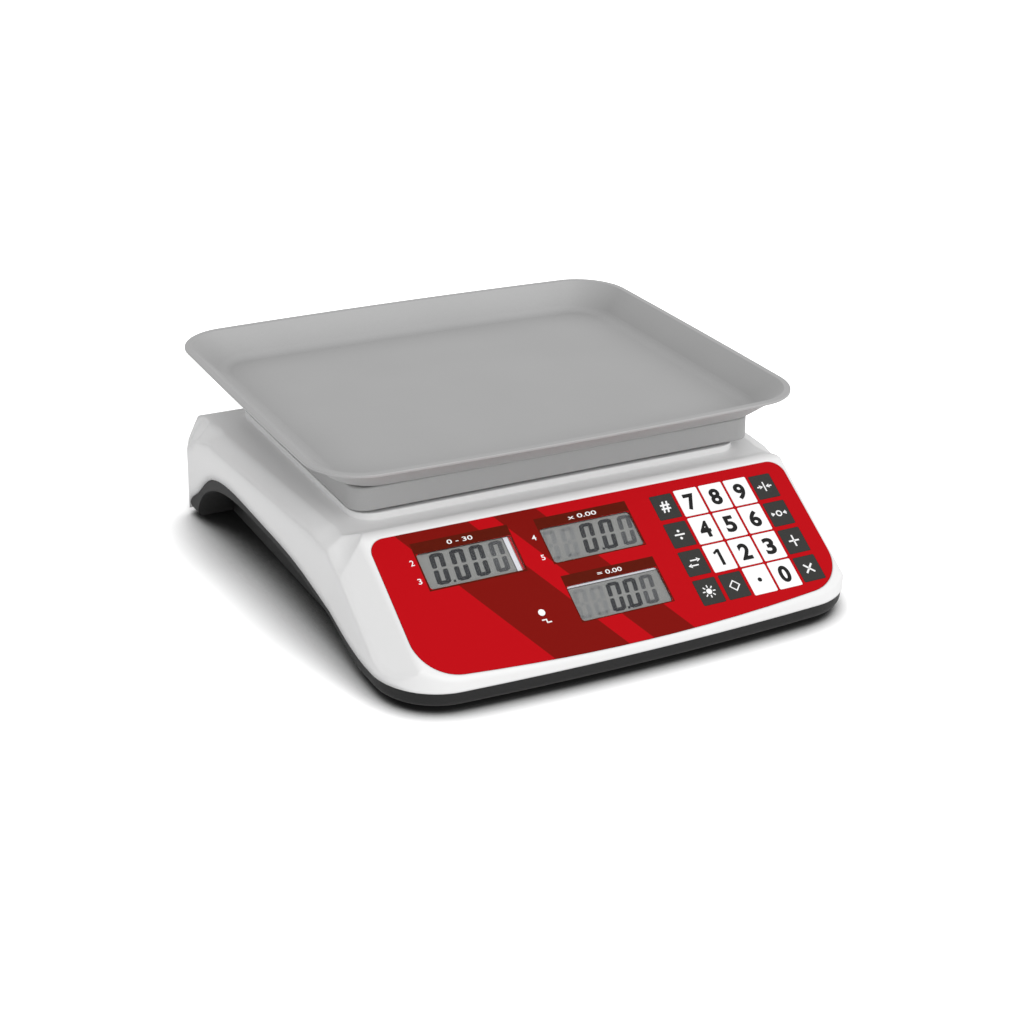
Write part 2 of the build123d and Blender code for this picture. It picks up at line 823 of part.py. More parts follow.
spacer_plane = panel_plane.offset(-film_t - spacer_t)
circuit_plane = panel_plane.offset(-recess_depth)

with BuildPart() as membrane_circuit:
    with BuildSketch(circuit_plane):
        with Locations((keypad_u, keypad_v)):
            RectangleRounded(circuit_w, circuit_h, circuit_r)
    extrude(amount=circuit_t)
save(membrane_circuit, "membrane_circuit")

with BuildPart() as key_domes:
    with BuildSketch(spacer_plane):
        with Locations(*[key_centre(row, col) for row, col in key_grid]):
            Circle(dome_d / 2)
    extrude(amount=dome_t)
save(key_domes, "key_domes")

with BuildPart() as membrane_spacer:
    with BuildSketch(spacer_plane):
        add(panel_outline(0))
    extrude(amount=spacer_t)
    with BuildSketch(circuit_plane):
        add(panel_outline(0))
        with Locations((keypad_u, keypad_v)):
            RectangleRounded(circuit_w + fit_gap, circuit_h + fit_gap, circuit_r, mode=Mode.SUBTRACT)
    extrude(amount=circuit_t)
    extrude(cut_openings(circuit_plane, recess_depth), amount=recess_depth, mode=Mode.SUBTRACT)
save(membrane_spacer, "membrane_spacer")

with BuildPart() as control_overlay:
    with BuildSketch(panel_plane):
        add(panel_outline(0))
    extrude(amount=-film_t)
    extrude(cut_openings(panel_plane, film_t), amount=-film_t, mode=Mode.SUBTRACT)
save(control_overlay, "control_overlay")

with BuildPart() as display_windows:
    with BuildSketch(panel_plane):
        with Locations(*window_places()):
            RectangleRounded(window_w - fit_gap, window_h - fit_gap, window_r - fit_gap / 2)
    extrude(amount=-film_t)
save(display_windows, "display_windows")

for row, col in key_grid:
    with BuildPart() as key:
        with BuildSketch(panel_plane):
            with Locations(key_centre(row, col)):
                RectangleRounded(*key_size(row, col, 0), key_r)
        extrude(amount=-film_t)
    save(key, key_names[row][col])

# ---------------------------------------------------------------- front displays
with BuildPart() as front_lcds:
    with BuildSketch(panel_plane.offset(-lcd_depth)):
        with Locations(*window_places()):
            Rectangle(lcd_w, lcd_h)
    extrude(amount=-lcd_t)
    # the viewing glass stands up into the opening
    with BuildSketch(panel_plane.offset(-lcd_depth)):
        with Locations(*window_places()):
            RectangleRounded(window_w - 2 * fit_gap, window_h - 2 * fit_gap, window_r - fit_gap)
    extrude(amount=lcd_depth - film_t - lcd_set_back)
save(front_lcds, "front_lcds")

with BuildPart() as front_backlights:
    with BuildSketch(panel_plane.offset(-backlight_depth)):
        with Locations(*window_places()):
            Rectangle(lcd_w, lcd_h)
    extrude(amount=-backlight_t)
save(front_backlights, "front_backlights")

with BuildPart() as display_board:
    with BuildSketch(panel_plane.offset(-board_depth)):
        with Locations((board_u, board_v)):
            Rectangle(board_w, board_h)
        with Locations(*standoff_places):
            Circle(board_screw_d / 2 + thread_clear, mode=Mode.SUBTRACT)
    extrude(amount=-board_t)
save(display_board, "display_board")

with BuildPart() as status_lamp:
    with BuildSketch(panel_plane.offset(-board_depth)):
        with Locations((led_u, led_v)):
            Circle(led_d / 2)
    extrude(amount=board_depth - film_t)
    fillet(status_lamp.edges().sort_by(Axis.Z)[-1], led_d / 3)
    with BuildSketch(panel_plane.offset(-board_depth)):
        with Locations((led_u, led_v)):
            Circle(led_d / 2 + led_flange)
    extrude(amount=led_flange_t)
save(status_lamp, "status_lamp")

# ---------------------------------------------------------------- customer display
with BuildPart() as rear_overlay:
    with BuildSketch(rear_plane):
        with Locations((0, rear_panel_v)):
            RectangleRounded(rear_panel_w, rear_panel_h, rear_panel_r)
        with Locations(*rear_window_places):
            RectangleRounded(window_w, rear_window_h, window_r, mode=Mode.SUBTRACT)
    extrude(amount=-film_t)
save(rear_overlay, "rear_overlay")

with BuildPart() as rear_windows:
    with BuildSketch(rear_plane):
        with Locations(*rear_window_places):
            RectangleRounded(window_w - fit_gap, rear_window_h - fit_gap, window_r - fit_gap / 2)
    extrude(amount=-film_t)
save(rear_windows, "rear_windows")

with BuildPart() as rear_lcds:
    with BuildSketch(rear_plane.offset(-rear_lcd_depth)):
        with Locations(*rear_window_places):
            Rectangle(lcd_w, rear_lcd_h)
    extrude(amount=-lcd_t)
    with BuildSketch(rear_plane.offset(-rear_lcd_depth)):
        with Locations(*rear_window_places):
            RectangleRounded(window_w - 2 * fit_gap, rear_window_h - 2 * fit_gap, window_r - fit_gap)
    extrude(amount=rear_lcd_depth - film_t - lcd_set_back)
save(rear_lcds, "rear_lcds")

with BuildPart() as rear_board:
    with BuildSketch(rear_plane.offset(-rear_board_depth)):
        with Locations((0, rear_panel_v)):
            Rectangle(rear_board_w, rear_lcd_h)
        with Locations(*rear_standoff_places):
            Circle(board_screw_d / 2 + thread_clear, mode=Mode.SUBTRACT)
    extrude(amount=-board_t)
save(rear_board, "rear_board")

# ---------------------------------------------------------------- main board and power
with BuildPart() as main_board:
    with BuildSketch(Plane.XY.offset(floor_z + main_board_lift)):
        with Locations((main_board_x, main_board_y)):
            Rectangle(main_board_w, main_board_h)
        with Locations(*main_board_standoffs):
            Circle(board_screw_d / 2 + thread_clear, mode=Mode.SUBTRACT)
    extrude(amount=board_t)
save(main_board, "main_board")

board_face_z = floor_z + main_board_lift + board_t
with BuildPart() as board_parts:
    # the processor and the converter beside it
    with BuildSketch(Plane.XY.offset(board_face_z)):
        with Locations((main_board_x - 12, main_board_y + 4)):
            Rectangle(chip_w, chip_w)
        with Locations((main_board_x + 16, main_board_y + 12)):
            Rectangle(small_chip_w, small_chip_w)
    extrude(amount=chip_h)
    # two smoothing capacitors
    with BuildSketch(Plane.XY.offset(board_face_z)):
        with Locations((main_board_x + 14, main_board_y - 12), (main_board_x + 28, main_board_y - 12)):
            Circle(capacitor_d / 2)
    extrude(amount=capacitor_h)
    # two plug-in headers for the wiring
    with BuildSketch(Plane.XY.offset(board_face_z)):
        with Locations((main_board_x - 22, main_board_y - 22), (main_board_x + 8, main_board_y + 24)):
            Rectangle(header_l, header_w)
    extrude(amount=header_h)
save(board_parts, "board_parts")

with BuildPart() as board_screws:
    with BuildSketch(Plane.XY.offset(board_face_z)):
        with Locations(*main_board_standoffs):
            Circle(board_screw_d / 2)
    extrude(amount=-board_screw_length)
    with BuildSketch(Plane.XY.offset(board_face_z)):
        with Locations(*main_board_standoffs):
            Circle(board_head_d / 2)
    extrude(amount=board_head_h)
    with BuildSketch(panel_plane.offset(-board_depth - board_t)):
        with Locations(*standoff_places):
            Circle(board_screw_d / 2)
    extrude(amount=board_screw_length)
    with BuildSketch(panel_plane.offset(-board_depth - board_t)):
        with Locations(*standoff_places):
            Circle(board_head_d / 2)
    extrude(amount=-board_head_h)
    with BuildSketch(rear_plane.offset(-rear_board_depth - board_t)):
        with Locations(*rear_standoff_places):
            Circle(board_screw_d / 2)
    extrude(amount=board_screw_length - 1)
    with BuildSketch(rear_plane.offset(-rear_board_depth - board_t)):
        with Locations(*rear_standoff_places):
            Circle(board_head_d / 2)
    extrude(amount=-board_head_h)
save(board_screws, "board_screws")

with BuildPart() as battery:
    with BuildSketch(Plane.XY.offset(floor_z)):
        with Locations((battery_x, battery_y)):
            RectangleRounded(battery_l, battery_w, 2)
    extrude(amount=battery_h)
    with BuildSketch(Plane.XY.offset(floor_z + battery_h)):
        with Locations((battery_x + battery_l / 2 - tab_inset, battery_y)):
            with GridLocations(0, tab_pitch, 1, 2):
                Rectangle(tab_w, tab_t)
    extrude(amount=tab_h)
save(battery, "battery")

with BuildPart() as battery_strap:
    with BuildSketch(Plane.XZ.offset(-(battery_y + strap_w / 2))):
        with Locations((battery_x, floor_z)):
            Rectangle(
                battery_l + 2 * (strap_t + seam_gap), battery_h + strap_t + seam_gap,
                align=(Align.CENTER, Align.MIN),
            )
            Rectangle(
                battery_l + 2 * (strap_t + seam_gap + strap_foot), strap_t,
                align=(Align.CENTER, Align.MIN),
            )
            Rectangle(
                battery_l + 2 * seam_gap, battery_h + seam_gap,
                align=(Align.CENTER, Align.MIN), mode=Mode.SUBTRACT,
            )
    extrude(amount=strap_w)
save(battery_strap, "battery_strap")

with BuildPart() as transformer:
    with BuildSketch(Plane.XY.offset(floor_z)):
        with Locations((transformer_x, transformer_y)):
            Rectangle(transformer_l, transformer_w)
    extrude(amount=transformer_h)
    with BuildSketch(Plane.XY.offset(floor_z)):
        with Locations((transformer_x, transformer_y)):
            Rectangle(transformer_l + 2 * transformer_ear, transformer_ear_w)
    extrude(amount=transformer_ear_t)
    with BuildSketch(Plane.XY.offset(floor_z + transformer_yoke)):
        with Locations((transformer_x, transformer_y)):
            RectangleRounded(
                transformer_l - 2 * transformer_ear, transformer_w + 2 * winding_proud, winding_r,
            )
    extrude(amount=transformer_h - 2 * transformer_yoke)
save(transformer, "transformer")

wall_x = recess_half
with BuildPart() as power_inlet:
    with BuildSketch(Plane.YZ.offset(wall_x)):
        with Locations((inlet_y, inlet_z)):
            RectangleRounded(inlet_w + 2 * flange_edge, inlet_h + 2 * flange_edge, 2)
    extrude(amount=flange_t)
    with BuildSketch(Plane.YZ.offset(wall_x)):
        with Locations((inlet_y, inlet_z)):
            Rectangle(inlet_w, inlet_h)
    extrude(amount=-inlet_depth)
    with BuildSketch(Plane.YZ.offset(wall_x + flange_t)):
        with Locations((inlet_y, inlet_z)):
            Rectangle(inlet_w - 2 * inlet_wall, inlet_h - 2 * inlet_wall)
    extrude(amount=inlet_back_t - inlet_depth, mode=Mode.SUBTRACT)
    with BuildSketch(Plane.YZ.offset(wall_x + flange_t + inlet_back_t - inlet_depth)):
        with Locations(
            (inlet_y - inlet_pin_pitch, inlet_z - inlet_pin_step), (inlet_y, inlet_z + inlet_pin_step),
            (inlet_y + inlet_pin_pitch, inlet_z - inlet_pin_step),
        ):
            Rectangle(inlet_pin_w, inlet_pin_h)
    extrude(amount=inlet_depth - inlet_back_t - flange_t - inlet_pin_h)
save(power_inlet, "power_inlet")

# rocker switch: the rocker turns on a vertical axis just inside the frame's mouth
pivot_x = wall_x + flange_t - rocker_set_in
pocket_h = rocker_h + 2 * seam_gap
with BuildPart() as switch_frame:
    with BuildSketch(Plane.YZ.offset(wall_x)):
        with Locations((switch_y, switch_z)):
            RectangleRounded(switch_w + 2 * flange_edge, switch_h + 2 * flange_edge, 1.5)
    extrude(amount=flange_t)
    with BuildSketch(Plane.YZ.offset(wall_x)):
        with Locations((switch_y, switch_z)):
            Rectangle(switch_w, switch_h)
    extrude(amount=-switch_depth)
    with BuildSketch(Plane.XY.offset(switch_z - pocket_h / 2)):
        with Locations((pivot_x, switch_y)):
            Circle(rocker_r + seam_gap)
    extrude(amount=pocket_h, mode=Mode.SUBTRACT)
    with BuildSketch(Plane.XY.offset(switch_z - switch_h / 2 + rocker_pin_gap - seam_gap)):
        with Locations((pivot_x, switch_y)):
            Circle(rocker_pin_d / 2 + bolt_clear)
    extrude(amount=switch_h - 2 * (rocker_pin_gap - seam_gap), mode=Mode.SUBTRACT)
save(switch_frame, "switch_frame")

reach = 1.4 * rocker_r       # past the round rocker on every side
with BuildPart() as switch_rocker:
    with BuildSketch(Plane.XY.offset(switch_z - rocker_h / 2)):
        with Locations((pivot_x, switch_y)):
            Circle(rocker_r)
        with BuildLine():
            Polyline(
                (pivot_x + rocker_high, switch_y - reach), (pivot_x + rocker_low, switch_y),
                (pivot_x + rocker_low, switch_y + reach), (pivot_x + reach, switch_y + reach),
                (pivot_x + reach, switch_y - reach),
                close=True,
            )
        make_face(mode=Mode.SUBTRACT)
    extrude(amount=rocker_h)
    with BuildSketch(Plane.XY.offset(switch_z - switch_h / 2 + rocker_pin_gap)):
        with Locations((pivot_x, switch_y)):
            Circle(rocker_pin_d / 2)
    extrude(amount=switch_h - 2 * rocker_pin_gap)
save(switch_rocker, "switch_rocker")

# ---------------------------------------------------------------- load cell and its fixings
with BuildPart() as load_cell:
    with BuildSketch(Plane.XY.offset(cell_z)):
        with Locations((0, support_y)):
            Rectangle(cell_length, cell_width)
    extrude(amount=cell_height)
    with BuildSketch(Plane.XZ.offset(-(support_y + cell_width))):
        with Locations((0, cell_z + cell_height / 2)):
            with GridLocations(cell_lobe_pitch, 0, 2, 1):
                Circle(cell_lobe_d / 2)
            Rectangle(cell_lobe_pitch, cell_slot_h)
    extrude(amount=2 * cell_width, mode=Mode.SUBTRACT)
    with BuildSketch(Plane.XY.offset(cell_z - 1)):
        with Locations(*cell_bolts(-cell_end_x), *cell_bolts(cell_end_x)):
            Circle(bolt_d / 2 + bolt_clear)
    extrude(amount=cell_height + 2, mode=Mode.SUBTRACT)
save(load_cell, "load_cell")

with BuildPart() as cell_spacer_block:
    with BuildSketch(Plane.XY.offset(floor_z)):
        with Locations((-cell_end_x, support_y)):
            Rectangle(column_length, cell_width)
        with Locations(*cell_bolts(-cell_end_x)):
            Circle(bolt_d / 2 + bolt_clear, mode=Mode.SUBTRACT)
    extrude(amount=cell_spacer)
save(cell_spacer_block, "cell_spacer")

with BuildPart() as cell_bolts_group:
    with BuildSketch(Plane.XY.offset(cell_top_z)):
        with Locations(*cell_bolts(-cell_end_x)):
            Circle(bolt_d / 2)
    extrude(amount=-cell_height - cell_spacer - bolt_bite)
    with BuildSketch(Plane.XY.offset(cell_top_z)):
        with Locations(*cell_bolts(-cell_end_x)):
            Circle(bolt_head_d / 2)
    extrude(amount=bolt_head_h)
save(cell_bolts_group, "cell_bolts")

with BuildPart() as overload_stop:
    with BuildSketch(Plane.XY.offset(base_z + 0.5)):
        with Locations((cell_end_x, support_y)):
            Circle(stop_d / 2)
    extrude(amount=cell_z - stop_gap - base_z - 0.5)
save(overload_stop, "overload_stop")

# ---------------------------------------------------------------- weighing platform
with BuildPart() as platform_bracket:
    with BuildSketch(Plane.XY.offset(bracket_z)):
        with Locations((platform_shift, support_y)):
            RectangleRounded(bracket_length, bracket_width, bracket_r)
    extrude(amount=bracket_t)
    with BuildSketch(Plane.XY.offset(cell_top_z)):
        with Locations((cell_end_x, support_y)):
            Rectangle(column_length, column_width)
    extrude(amount=bracket_z - cell_top_z)
    with BuildSketch(Plane.XY.offset(bracket_z)):
        with Locations((platform_shift, support_y)):
            with GridLocations(hole_pitch, bracket_width - 2 * bracket_arm, 4, 2):
                Circle(hole_d / 2)
    extrude(amount=bracket_t, mode=Mode.SUBTRACT)
    with BuildSketch(Plane.XY.offset(cell_top_z - 1)):
        with Locations(*cell_bolts(cell_end_x)):
            Circle(bolt_d / 2 + bolt_clear)
    extrude(amount=far / 2, mode=Mode.SUBTRACT)
    with BuildSketch(Plane.XY.offset(bracket_top_z)):
        with Locations(*cell_bolts(cell_end_x)):
            Circle(bolt_head_d / 2 + fit_gap)
    extrude(amount=-bolt_head_h - fit_gap, mode=Mode.SUBTRACT)
    with BuildSketch(Plane.XY.offset(bracket_z - 1)):
        with Locations(*support_screw_places):
            Circle(support_screw_d / 2 + thread_clear)
    extrude(amount=bracket_t + 2, mode=Mode.SUBTRACT)
save(platform_bracket, "platform_bracket")

with BuildPart() as platform_bolts:
    with BuildSketch(Plane.XY.offset(bracket_top_z - fit_gap)):
        with Locations(*cell_bolts(cell_end_x)):
            Circle(bolt_head_d / 2)
    extrude(amount=-bolt_head_h)
    with BuildSketch(Plane.XY.offset(bracket_top_z - fit_gap)):
        with Locations(*cell_bolts(cell_end_x)):
            Circle(bolt_d / 2)
    extrude(amount=-(bracket_top_z - fit_gap - cell_top_z) - cell_height * 0.6)
save(platform_bolts, "platform_bolts")

with BuildPart() as tray_support:
    with BuildSketch(Plane.XY.offset(support_top_z)):
        with Locations((platform_shift, support_y)):
            RectangleRounded(support_width, support_depth, support_corner_r)
    extrude(amount=-(support_top_z - support_low_z), taper=-support_draft)
    fillet(tray_support.edges().group_by(Axis.Z)[-1], support_edge_r)
    with BuildSketch(Plane.XY.offset(support_top_z - support_wall)):
        with Locations((platform_shift, support_y)):
            RectangleRounded(
                support_width - 2 * support_wall, support_depth - 2 * support_wall,
                support_corner_r - support_wall,
            )
    extrude(amount=-far / 4, mode=Mode.SUBTRACT)
    with BuildSketch(Plane.XY.offset(support_top_z)):
        with Locations(*pin_places):
            Circle(tray_pin_d / 2 + pin_clear)
    extrude(amount=-support_wall, mode=Mode.SUBTRACT)
    with Locations(*[(x, y, support_top_z) for x, y in support_screw_places]):
        CounterBoreHole(
            support_screw_d / 2 + thread_clear, support_head_d / 2 + thread_clear,
            support_head_h + seam_gap, support_wall + 1,
        )
save(tray_support, "tray_support")

with BuildPart() as support_screws:
    with BuildSketch(Plane.XY.offset(support_top_z - seam_gap)):
        with Locations(*support_screw_places):
            Circle(support_head_d / 2)
    extrude(amount=-support_head_h)
    with BuildSketch(Plane.XY.offset(bracket_z)):
        with Locations(*support_screw_places):
            Circle(support_screw_d / 2)
    extrude(amount=support_top_z - seam_gap - bracket_z)
save(support_screws, "support_screws")

with BuildPart() as tray_pads:
    with BuildSketch(Plane.XY.offset(support_top_z)):
        with Locations(*pin_places):
            Circle(pad_d / 2)
            Circle(tray_pin_d / 2 + pin_clear, mode=Mode.SUBTRACT)
    extrude(amount=pad_t)
save(tray_pads, "tray_pads")

# ---------------------------------------------------------------- tray
lip_z = tray_rim_z - tray_sheet
rise = lip_z - tray_base_z
base_w = tray_width - 2 * (tray_lip + tray_flare)
base_d = tray_depth - 2 * (tray_lip + tray_flare)
flare_angle = math.atan2(rise, tray_flare)
wall_run = tray_sheet / math.sin(flare_angle)          # sheet thickness measured sideways
run_per_rise = tray_flare / rise


def tray_section(z, draw_in):
    """Half of the sloping side's outline at a height: size, corner and bulge all grow upwards."""
    share = (z - tray_base_z) / rise
    grow = 2 * (run_per_rise * (z - tray_base_z) - draw_in)
    corner = tray_base_r + (tray_corner_r - tray_lip - tray_base_r) * share - draw_in * 0.6
    bow_share = 0.55 + 0.45 * share
    return tray_plan(base_w + grow, base_d + grow, corner, bow_share)


with BuildPart() as tray:
    for z in (tray_base_z, lip_z):
        with BuildSketch(Plane.XY.offset(z)):
            with Locations((platform_shift, tray_y)):
                add(tray_section(z, 0))
    loft(ruled=True)
    fillet(tray.edges().group_by(Axis.Z)[0], tray_outer_bend)
    with BuildSketch(Plane.XY.offset(lip_z)):
        with Locations((platform_shift, tray_y)):
            add(tray_plan(tray_width, tray_depth, tray_corner_r, 1))
    extrude(amount=tray_sheet)

with BuildPart() as tray_hollow:
    for z in (tray_base_z + tray_sheet, tray_rim_z):
        with BuildSketch(Plane.XY.offset(z)):
            with Locations((platform_shift, tray_y)):
                add(tray_section(z, wall_run))
    loft(ruled=True)
    fillet(tray_hollow.edges().group_by(Axis.Z)[0], tray_inner_bend)

with BuildPart() as tray_pan:
    add(tray.part)
    add(tray_hollow.part, mode=Mode.SUBTRACT)
    fillet(tray_pan.edges().group_by(Axis.Z)[-1].sort_by(Edge.length), tray_rim_edge)
    with BuildSketch(Plane.XY.offset(tray_base_z)):
        with Locations(*pin_places):
            Circle(tray_pin_d / 2)
    extrude(amount=-tray_pin_h)
save(tray_pan, "tray")

# ---------------------------------------------------------------- spirit level
with BuildPart() as spirit_level:
    with BuildSketch(Plane.XY.offset(case_top_z)):
        with Locations((level_x, level_y)):
            Circle(level_d / 2 + level_flange)
    extrude(amount=level_flange_t)
    with BuildSketch(Plane.XY.offset(case_top_z)):
        with Locations((level_x, level_y)):
            Circle(level_d / 2)
    extrude(amount=-level_h)
save(spirit_level, "spirit_level")

# ---------------------------------------------------------------- case screws and feet
with BuildPart() as case_screws:
    with BuildSketch(Plane.XY.offset(base_z + case_head_h)):
        with Locations(*boss_places):
            Circle(case_screw_d / 2)
    extrude(amount=case_screw_length)
    with BuildSketch(Plane.XY.offset(base_z + case_head_h)):
        with Locations(*boss_places):
            Circle(case_head_d / 2)
    extrude(amount=-case_head_h + fit_gap)
save(case_screws, "case_screws")

foot_names = ["foot_front_left", "foot_front_right", "foot_rear_left", "foot_rear_right"]
for name, place in zip(foot_names, foot_places):
    with BuildPart() as foot:
        with BuildSketch():
            with Locations(place):
                Circle(foot_pad_d / 2)
        extrude(amount=foot_pad_h)
        chamfer(foot.edges(), foot_pad_edge)
        with BuildSketch(Plane.XY.offset(foot_pad_h)):
            with Locations(place):
                Circle(foot_stud_d / 2)
        extrude(amount=foot_stud_length)
    save(foot, name)
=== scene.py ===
import json
import math

import bpy
from mathutils import Matrix, Vector


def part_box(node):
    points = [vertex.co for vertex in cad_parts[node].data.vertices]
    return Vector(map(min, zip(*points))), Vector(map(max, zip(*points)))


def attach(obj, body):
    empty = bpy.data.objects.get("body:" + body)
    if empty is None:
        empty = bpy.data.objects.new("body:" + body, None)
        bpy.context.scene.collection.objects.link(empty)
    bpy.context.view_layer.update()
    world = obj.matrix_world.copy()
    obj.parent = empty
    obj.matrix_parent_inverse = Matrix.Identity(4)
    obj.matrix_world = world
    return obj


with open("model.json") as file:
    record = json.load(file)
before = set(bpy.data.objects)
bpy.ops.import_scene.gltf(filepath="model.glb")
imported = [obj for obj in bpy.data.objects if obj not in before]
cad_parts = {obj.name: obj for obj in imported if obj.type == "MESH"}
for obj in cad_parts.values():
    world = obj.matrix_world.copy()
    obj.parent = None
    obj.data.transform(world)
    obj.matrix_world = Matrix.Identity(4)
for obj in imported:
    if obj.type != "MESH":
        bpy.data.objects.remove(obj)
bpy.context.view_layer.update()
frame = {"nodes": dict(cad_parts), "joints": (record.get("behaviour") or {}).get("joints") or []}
mm = 0.001

# ---- View ----------------------------------------------------------------------------
# A three-quarter view from the front left, looking a little down into the pan, through
# a fairly long lens.
view_turn = math.radians(-28.645)
view_rise = math.radians(25.001)
view_roll = math.radians(1.691)
view_back = Vector((
    math.sin(view_turn) * math.cos(view_rise),
    -math.cos(view_turn) * math.cos(view_rise),
    math.sin(view_rise),
))
level_right = (-view_back).cross(Vector((0, 0, 1))).normalized()
level_up = level_right.cross(-view_back)
view_right = level_right * math.cos(view_roll) + level_up * math.sin(view_roll)
view_up = level_up * math.cos(view_roll) - level_right * math.sin(view_roll)
camera_data = bpy.data.cameras.new("camera")
camera_data.lens = 66.96
camera_data.sensor_width = 36.0
camera = bpy.data.objects.new("camera", camera_data)
bpy.context.scene.collection.objects.link(camera)
view_middle = Vector((0, -15.75, 0)) * mm
camera_back = 1240.12 * mm
camera_left = 4.22 * mm
camera_raise = 28.67 * mm
camera_place = (
    view_middle + view_back * camera_back - level_right * camera_left + level_up * camera_raise
)
camera_turn = Matrix((view_right, view_up, view_back)).transposed().to_4x4()
camera.matrix_world = Matrix.Translation(camera_place) @ camera_turn
bpy.context.scene.camera = camera
bpy.context.scene.view_settings.view_transform = "Standard"

# ---- Table and studio light ----------------------------------------------------------
# A plain white table in a white room, lit softly from the top right, and from the front
# by a stronger and broader light. The scale's soft shadow stays close around it, made
# darker near the scale by painted shadow in the board's colour.
def hex_colour(code):
    """Linear colour of an sRGB hex value."""
    parts = [int(code[i:i + 2], 16) / 255 for i in (1, 3, 5)]
    return [c / 12.92 if c <= 0.04045 else ((c + 0.055) / 1.055) ** 2.4 for c in parts] + [1.0]


def add_node(tree, kind, settings={}, inputs={}, links={}):
    """Adds a node, with its settings, input values and the sockets that feed it."""
    node = tree.nodes.new(kind)
    for name, value in settings.items():
        setattr(node, name, value)
    for name, value in inputs.items():
        node.inputs[name].default_value = value
    for name, socket in links.items():
        tree.links.new(socket, node.inputs[name])
    return node


def new_material(name):
    """An empty node material, its tree, and the place on the piece that its patterns read."""
    material = bpy.data.materials.new(name)
    material.use_nodes = True
    material.node_tree.nodes.clear()
    place = add_node(material.node_tree, "ShaderNodeTexCoord").outputs["Object"]
    return material, material.node_tree, place


def grain_scale(size_mm):
    """The scale at which a noise pattern's grains are so many millimetres wide."""
    return 1 / (size_mm * mm)


table_paper, tree, place = new_material("white_table_board")
fibre = add_node(
    tree, "ShaderNodeTexNoise", inputs={"Scale": grain_scale(3.85), "Detail": 3.0},
    links={"Vector": place},
)
paper_bump = add_node(
    tree, "ShaderNodeBump", inputs={"Strength": 0.05, "Distance": 0.2 * mm},
    links={"Height": fibre.outputs["Fac"]},
)
# painted shadow: the camera sees the board run out to plain white, and darkened by an
# ambient occlusion ramp where the scale stands close over it; the scale itself sees only
# off-white card
seen = add_node(tree, "ShaderNodeLightPath")
painted_shadow_reach = add_node(
    tree, "ShaderNodeAmbientOcclusion", settings={"samples": 16}, inputs={"Distance": 70 * mm},
)
painted_shadow_tone = add_node(tree, "ShaderNodeValToRGB", links={"Fac": painted_shadow_reach.outputs["AO"]})
painted_shadow_tone.color_ramp.elements[0].color = (0.02, 0.02, 0.02, 1.0)
painted_shadow_tone.color_ramp.elements[0].position = 0.28
painted_shadow_tone.color_ramp.elements[1].color = (1.0, 1.0, 1.0, 1.0)
painted_shadow_tone.color_ramp.elements[1].position = 0.9
lifted = add_node(
    tree, "ShaderNodeVectorMath", settings={"operation": "SCALE"}, inputs={"Scale": 1.9},
    links={0: painted_shadow_tone.outputs["Color"]},
)
board_tone = add_node(
    tree, "ShaderNodeMix", settings={"data_type": "RGBA", "clamp_result": False},
    links={"Factor": seen.outputs["Is Camera Ray"], 7: lifted.outputs["Vector"]},
)
board_tone.inputs[6].default_value = hex_colour("#FAFAFA")
paper = add_node(
    tree, "ShaderNodeBsdfDiffuse",
    links={"Color": board_tone.outputs[2], "Normal": paper_bump.outputs["Normal"]},
)
add_node(tree, "ShaderNodeOutputMaterial", links={"Surface": paper.outputs["BSDF"]})

bpy.ops.object.select_all(action="DESELECT")
bpy.ops.mesh.primitive_plane_add(size=24.0, location=(0, 0, -0.1 * mm))
table = bpy.context.object
table.name = "table"
table.data.materials.append(table_paper)

room = bpy.data.worlds.new("room")
room.use_nodes = True
bpy.context.scene.world = room
tree = room.node_tree
tree.nodes.clear()
rays = add_node(tree, "ShaderNodeLightPath")
seen = add_node(
    tree, "ShaderNodeMath", settings={"operation": "MAXIMUM"},
    links={0: rays.outputs["Is Camera Ray"], 1: rays.outputs["Is Transmission Ray"]},
)
room_light = add_node(tree, "ShaderNodeBackground", inputs={"Color": (1, 1, 1, 1), "Strength": 0.72})
room_seen = add_node(tree, "ShaderNodeBackground", inputs={"Color": (1, 1, 1, 1), "Strength": 1.0})
room_mix = add_node(
    tree, "ShaderNodeMixShader",
    links={0: seen.outputs[0], 1: room_light.outputs[0], 2: room_seen.outputs[0]},
)
add_node(tree, "ShaderNodeOutputWorld", links={"Surface": room_mix.outputs[0]})

for name, aim, power, spread in (
    ("soft_light_top", (-0.45, 0.14, -0.95), 0.3, 30.0),
    ("soft_light_front", (-0.12, 0.86, -0.50), 1.05, 50.0),
):
    lamp_data = bpy.data.lights.new(name, "SUN")
    lamp_data.energy = power
    lamp_data.angle = math.radians(spread)
    lamp = bpy.data.objects.new(name, lamp_data)
    bpy.context.scene.collection.objects.link(lamp)
    lamp.rotation_mode = "QUATERNION"
    lamp.rotation_quaternion = Vector(aim).to_track_quat("-Z", "Y")

# ---- Black base ----------------------------------------------------------------------
# The lower moulding in black ABS, with the snapped-in inlet and switch frame: deep
# charcoal with a dull sheen from the spark-eroded grain of its mould, which is drawn
# nearly half a millimetre wide, coarser than the real one, so that it shows.
def finish_node(name, material):
    """Gives a CAD piece its finished material."""
    for slot in frame["nodes"][name].material_slots:
        slot.material = material


def mottled(tree, place, size_mm, low, high, detail=2.0, roughness=0.5):
    """A noise with grains of a real width, and a tone that follows it between two colours."""
    noise = add_node(
        tree, "ShaderNodeTexNoise",
        inputs={"Scale": grain_scale(size_mm), "Detail": detail, "Roughness": roughness},
        links={"Vector": place},
    )
    tone = add_node(tree, "ShaderNodeValToRGB", links={"Fac": noise.outputs["Fac"]})
    tone.color_ramp.elements[0].color = hex_colour(low)
    tone.color_ramp.elements[1].color = hex_colour(high)
    return noise, tone


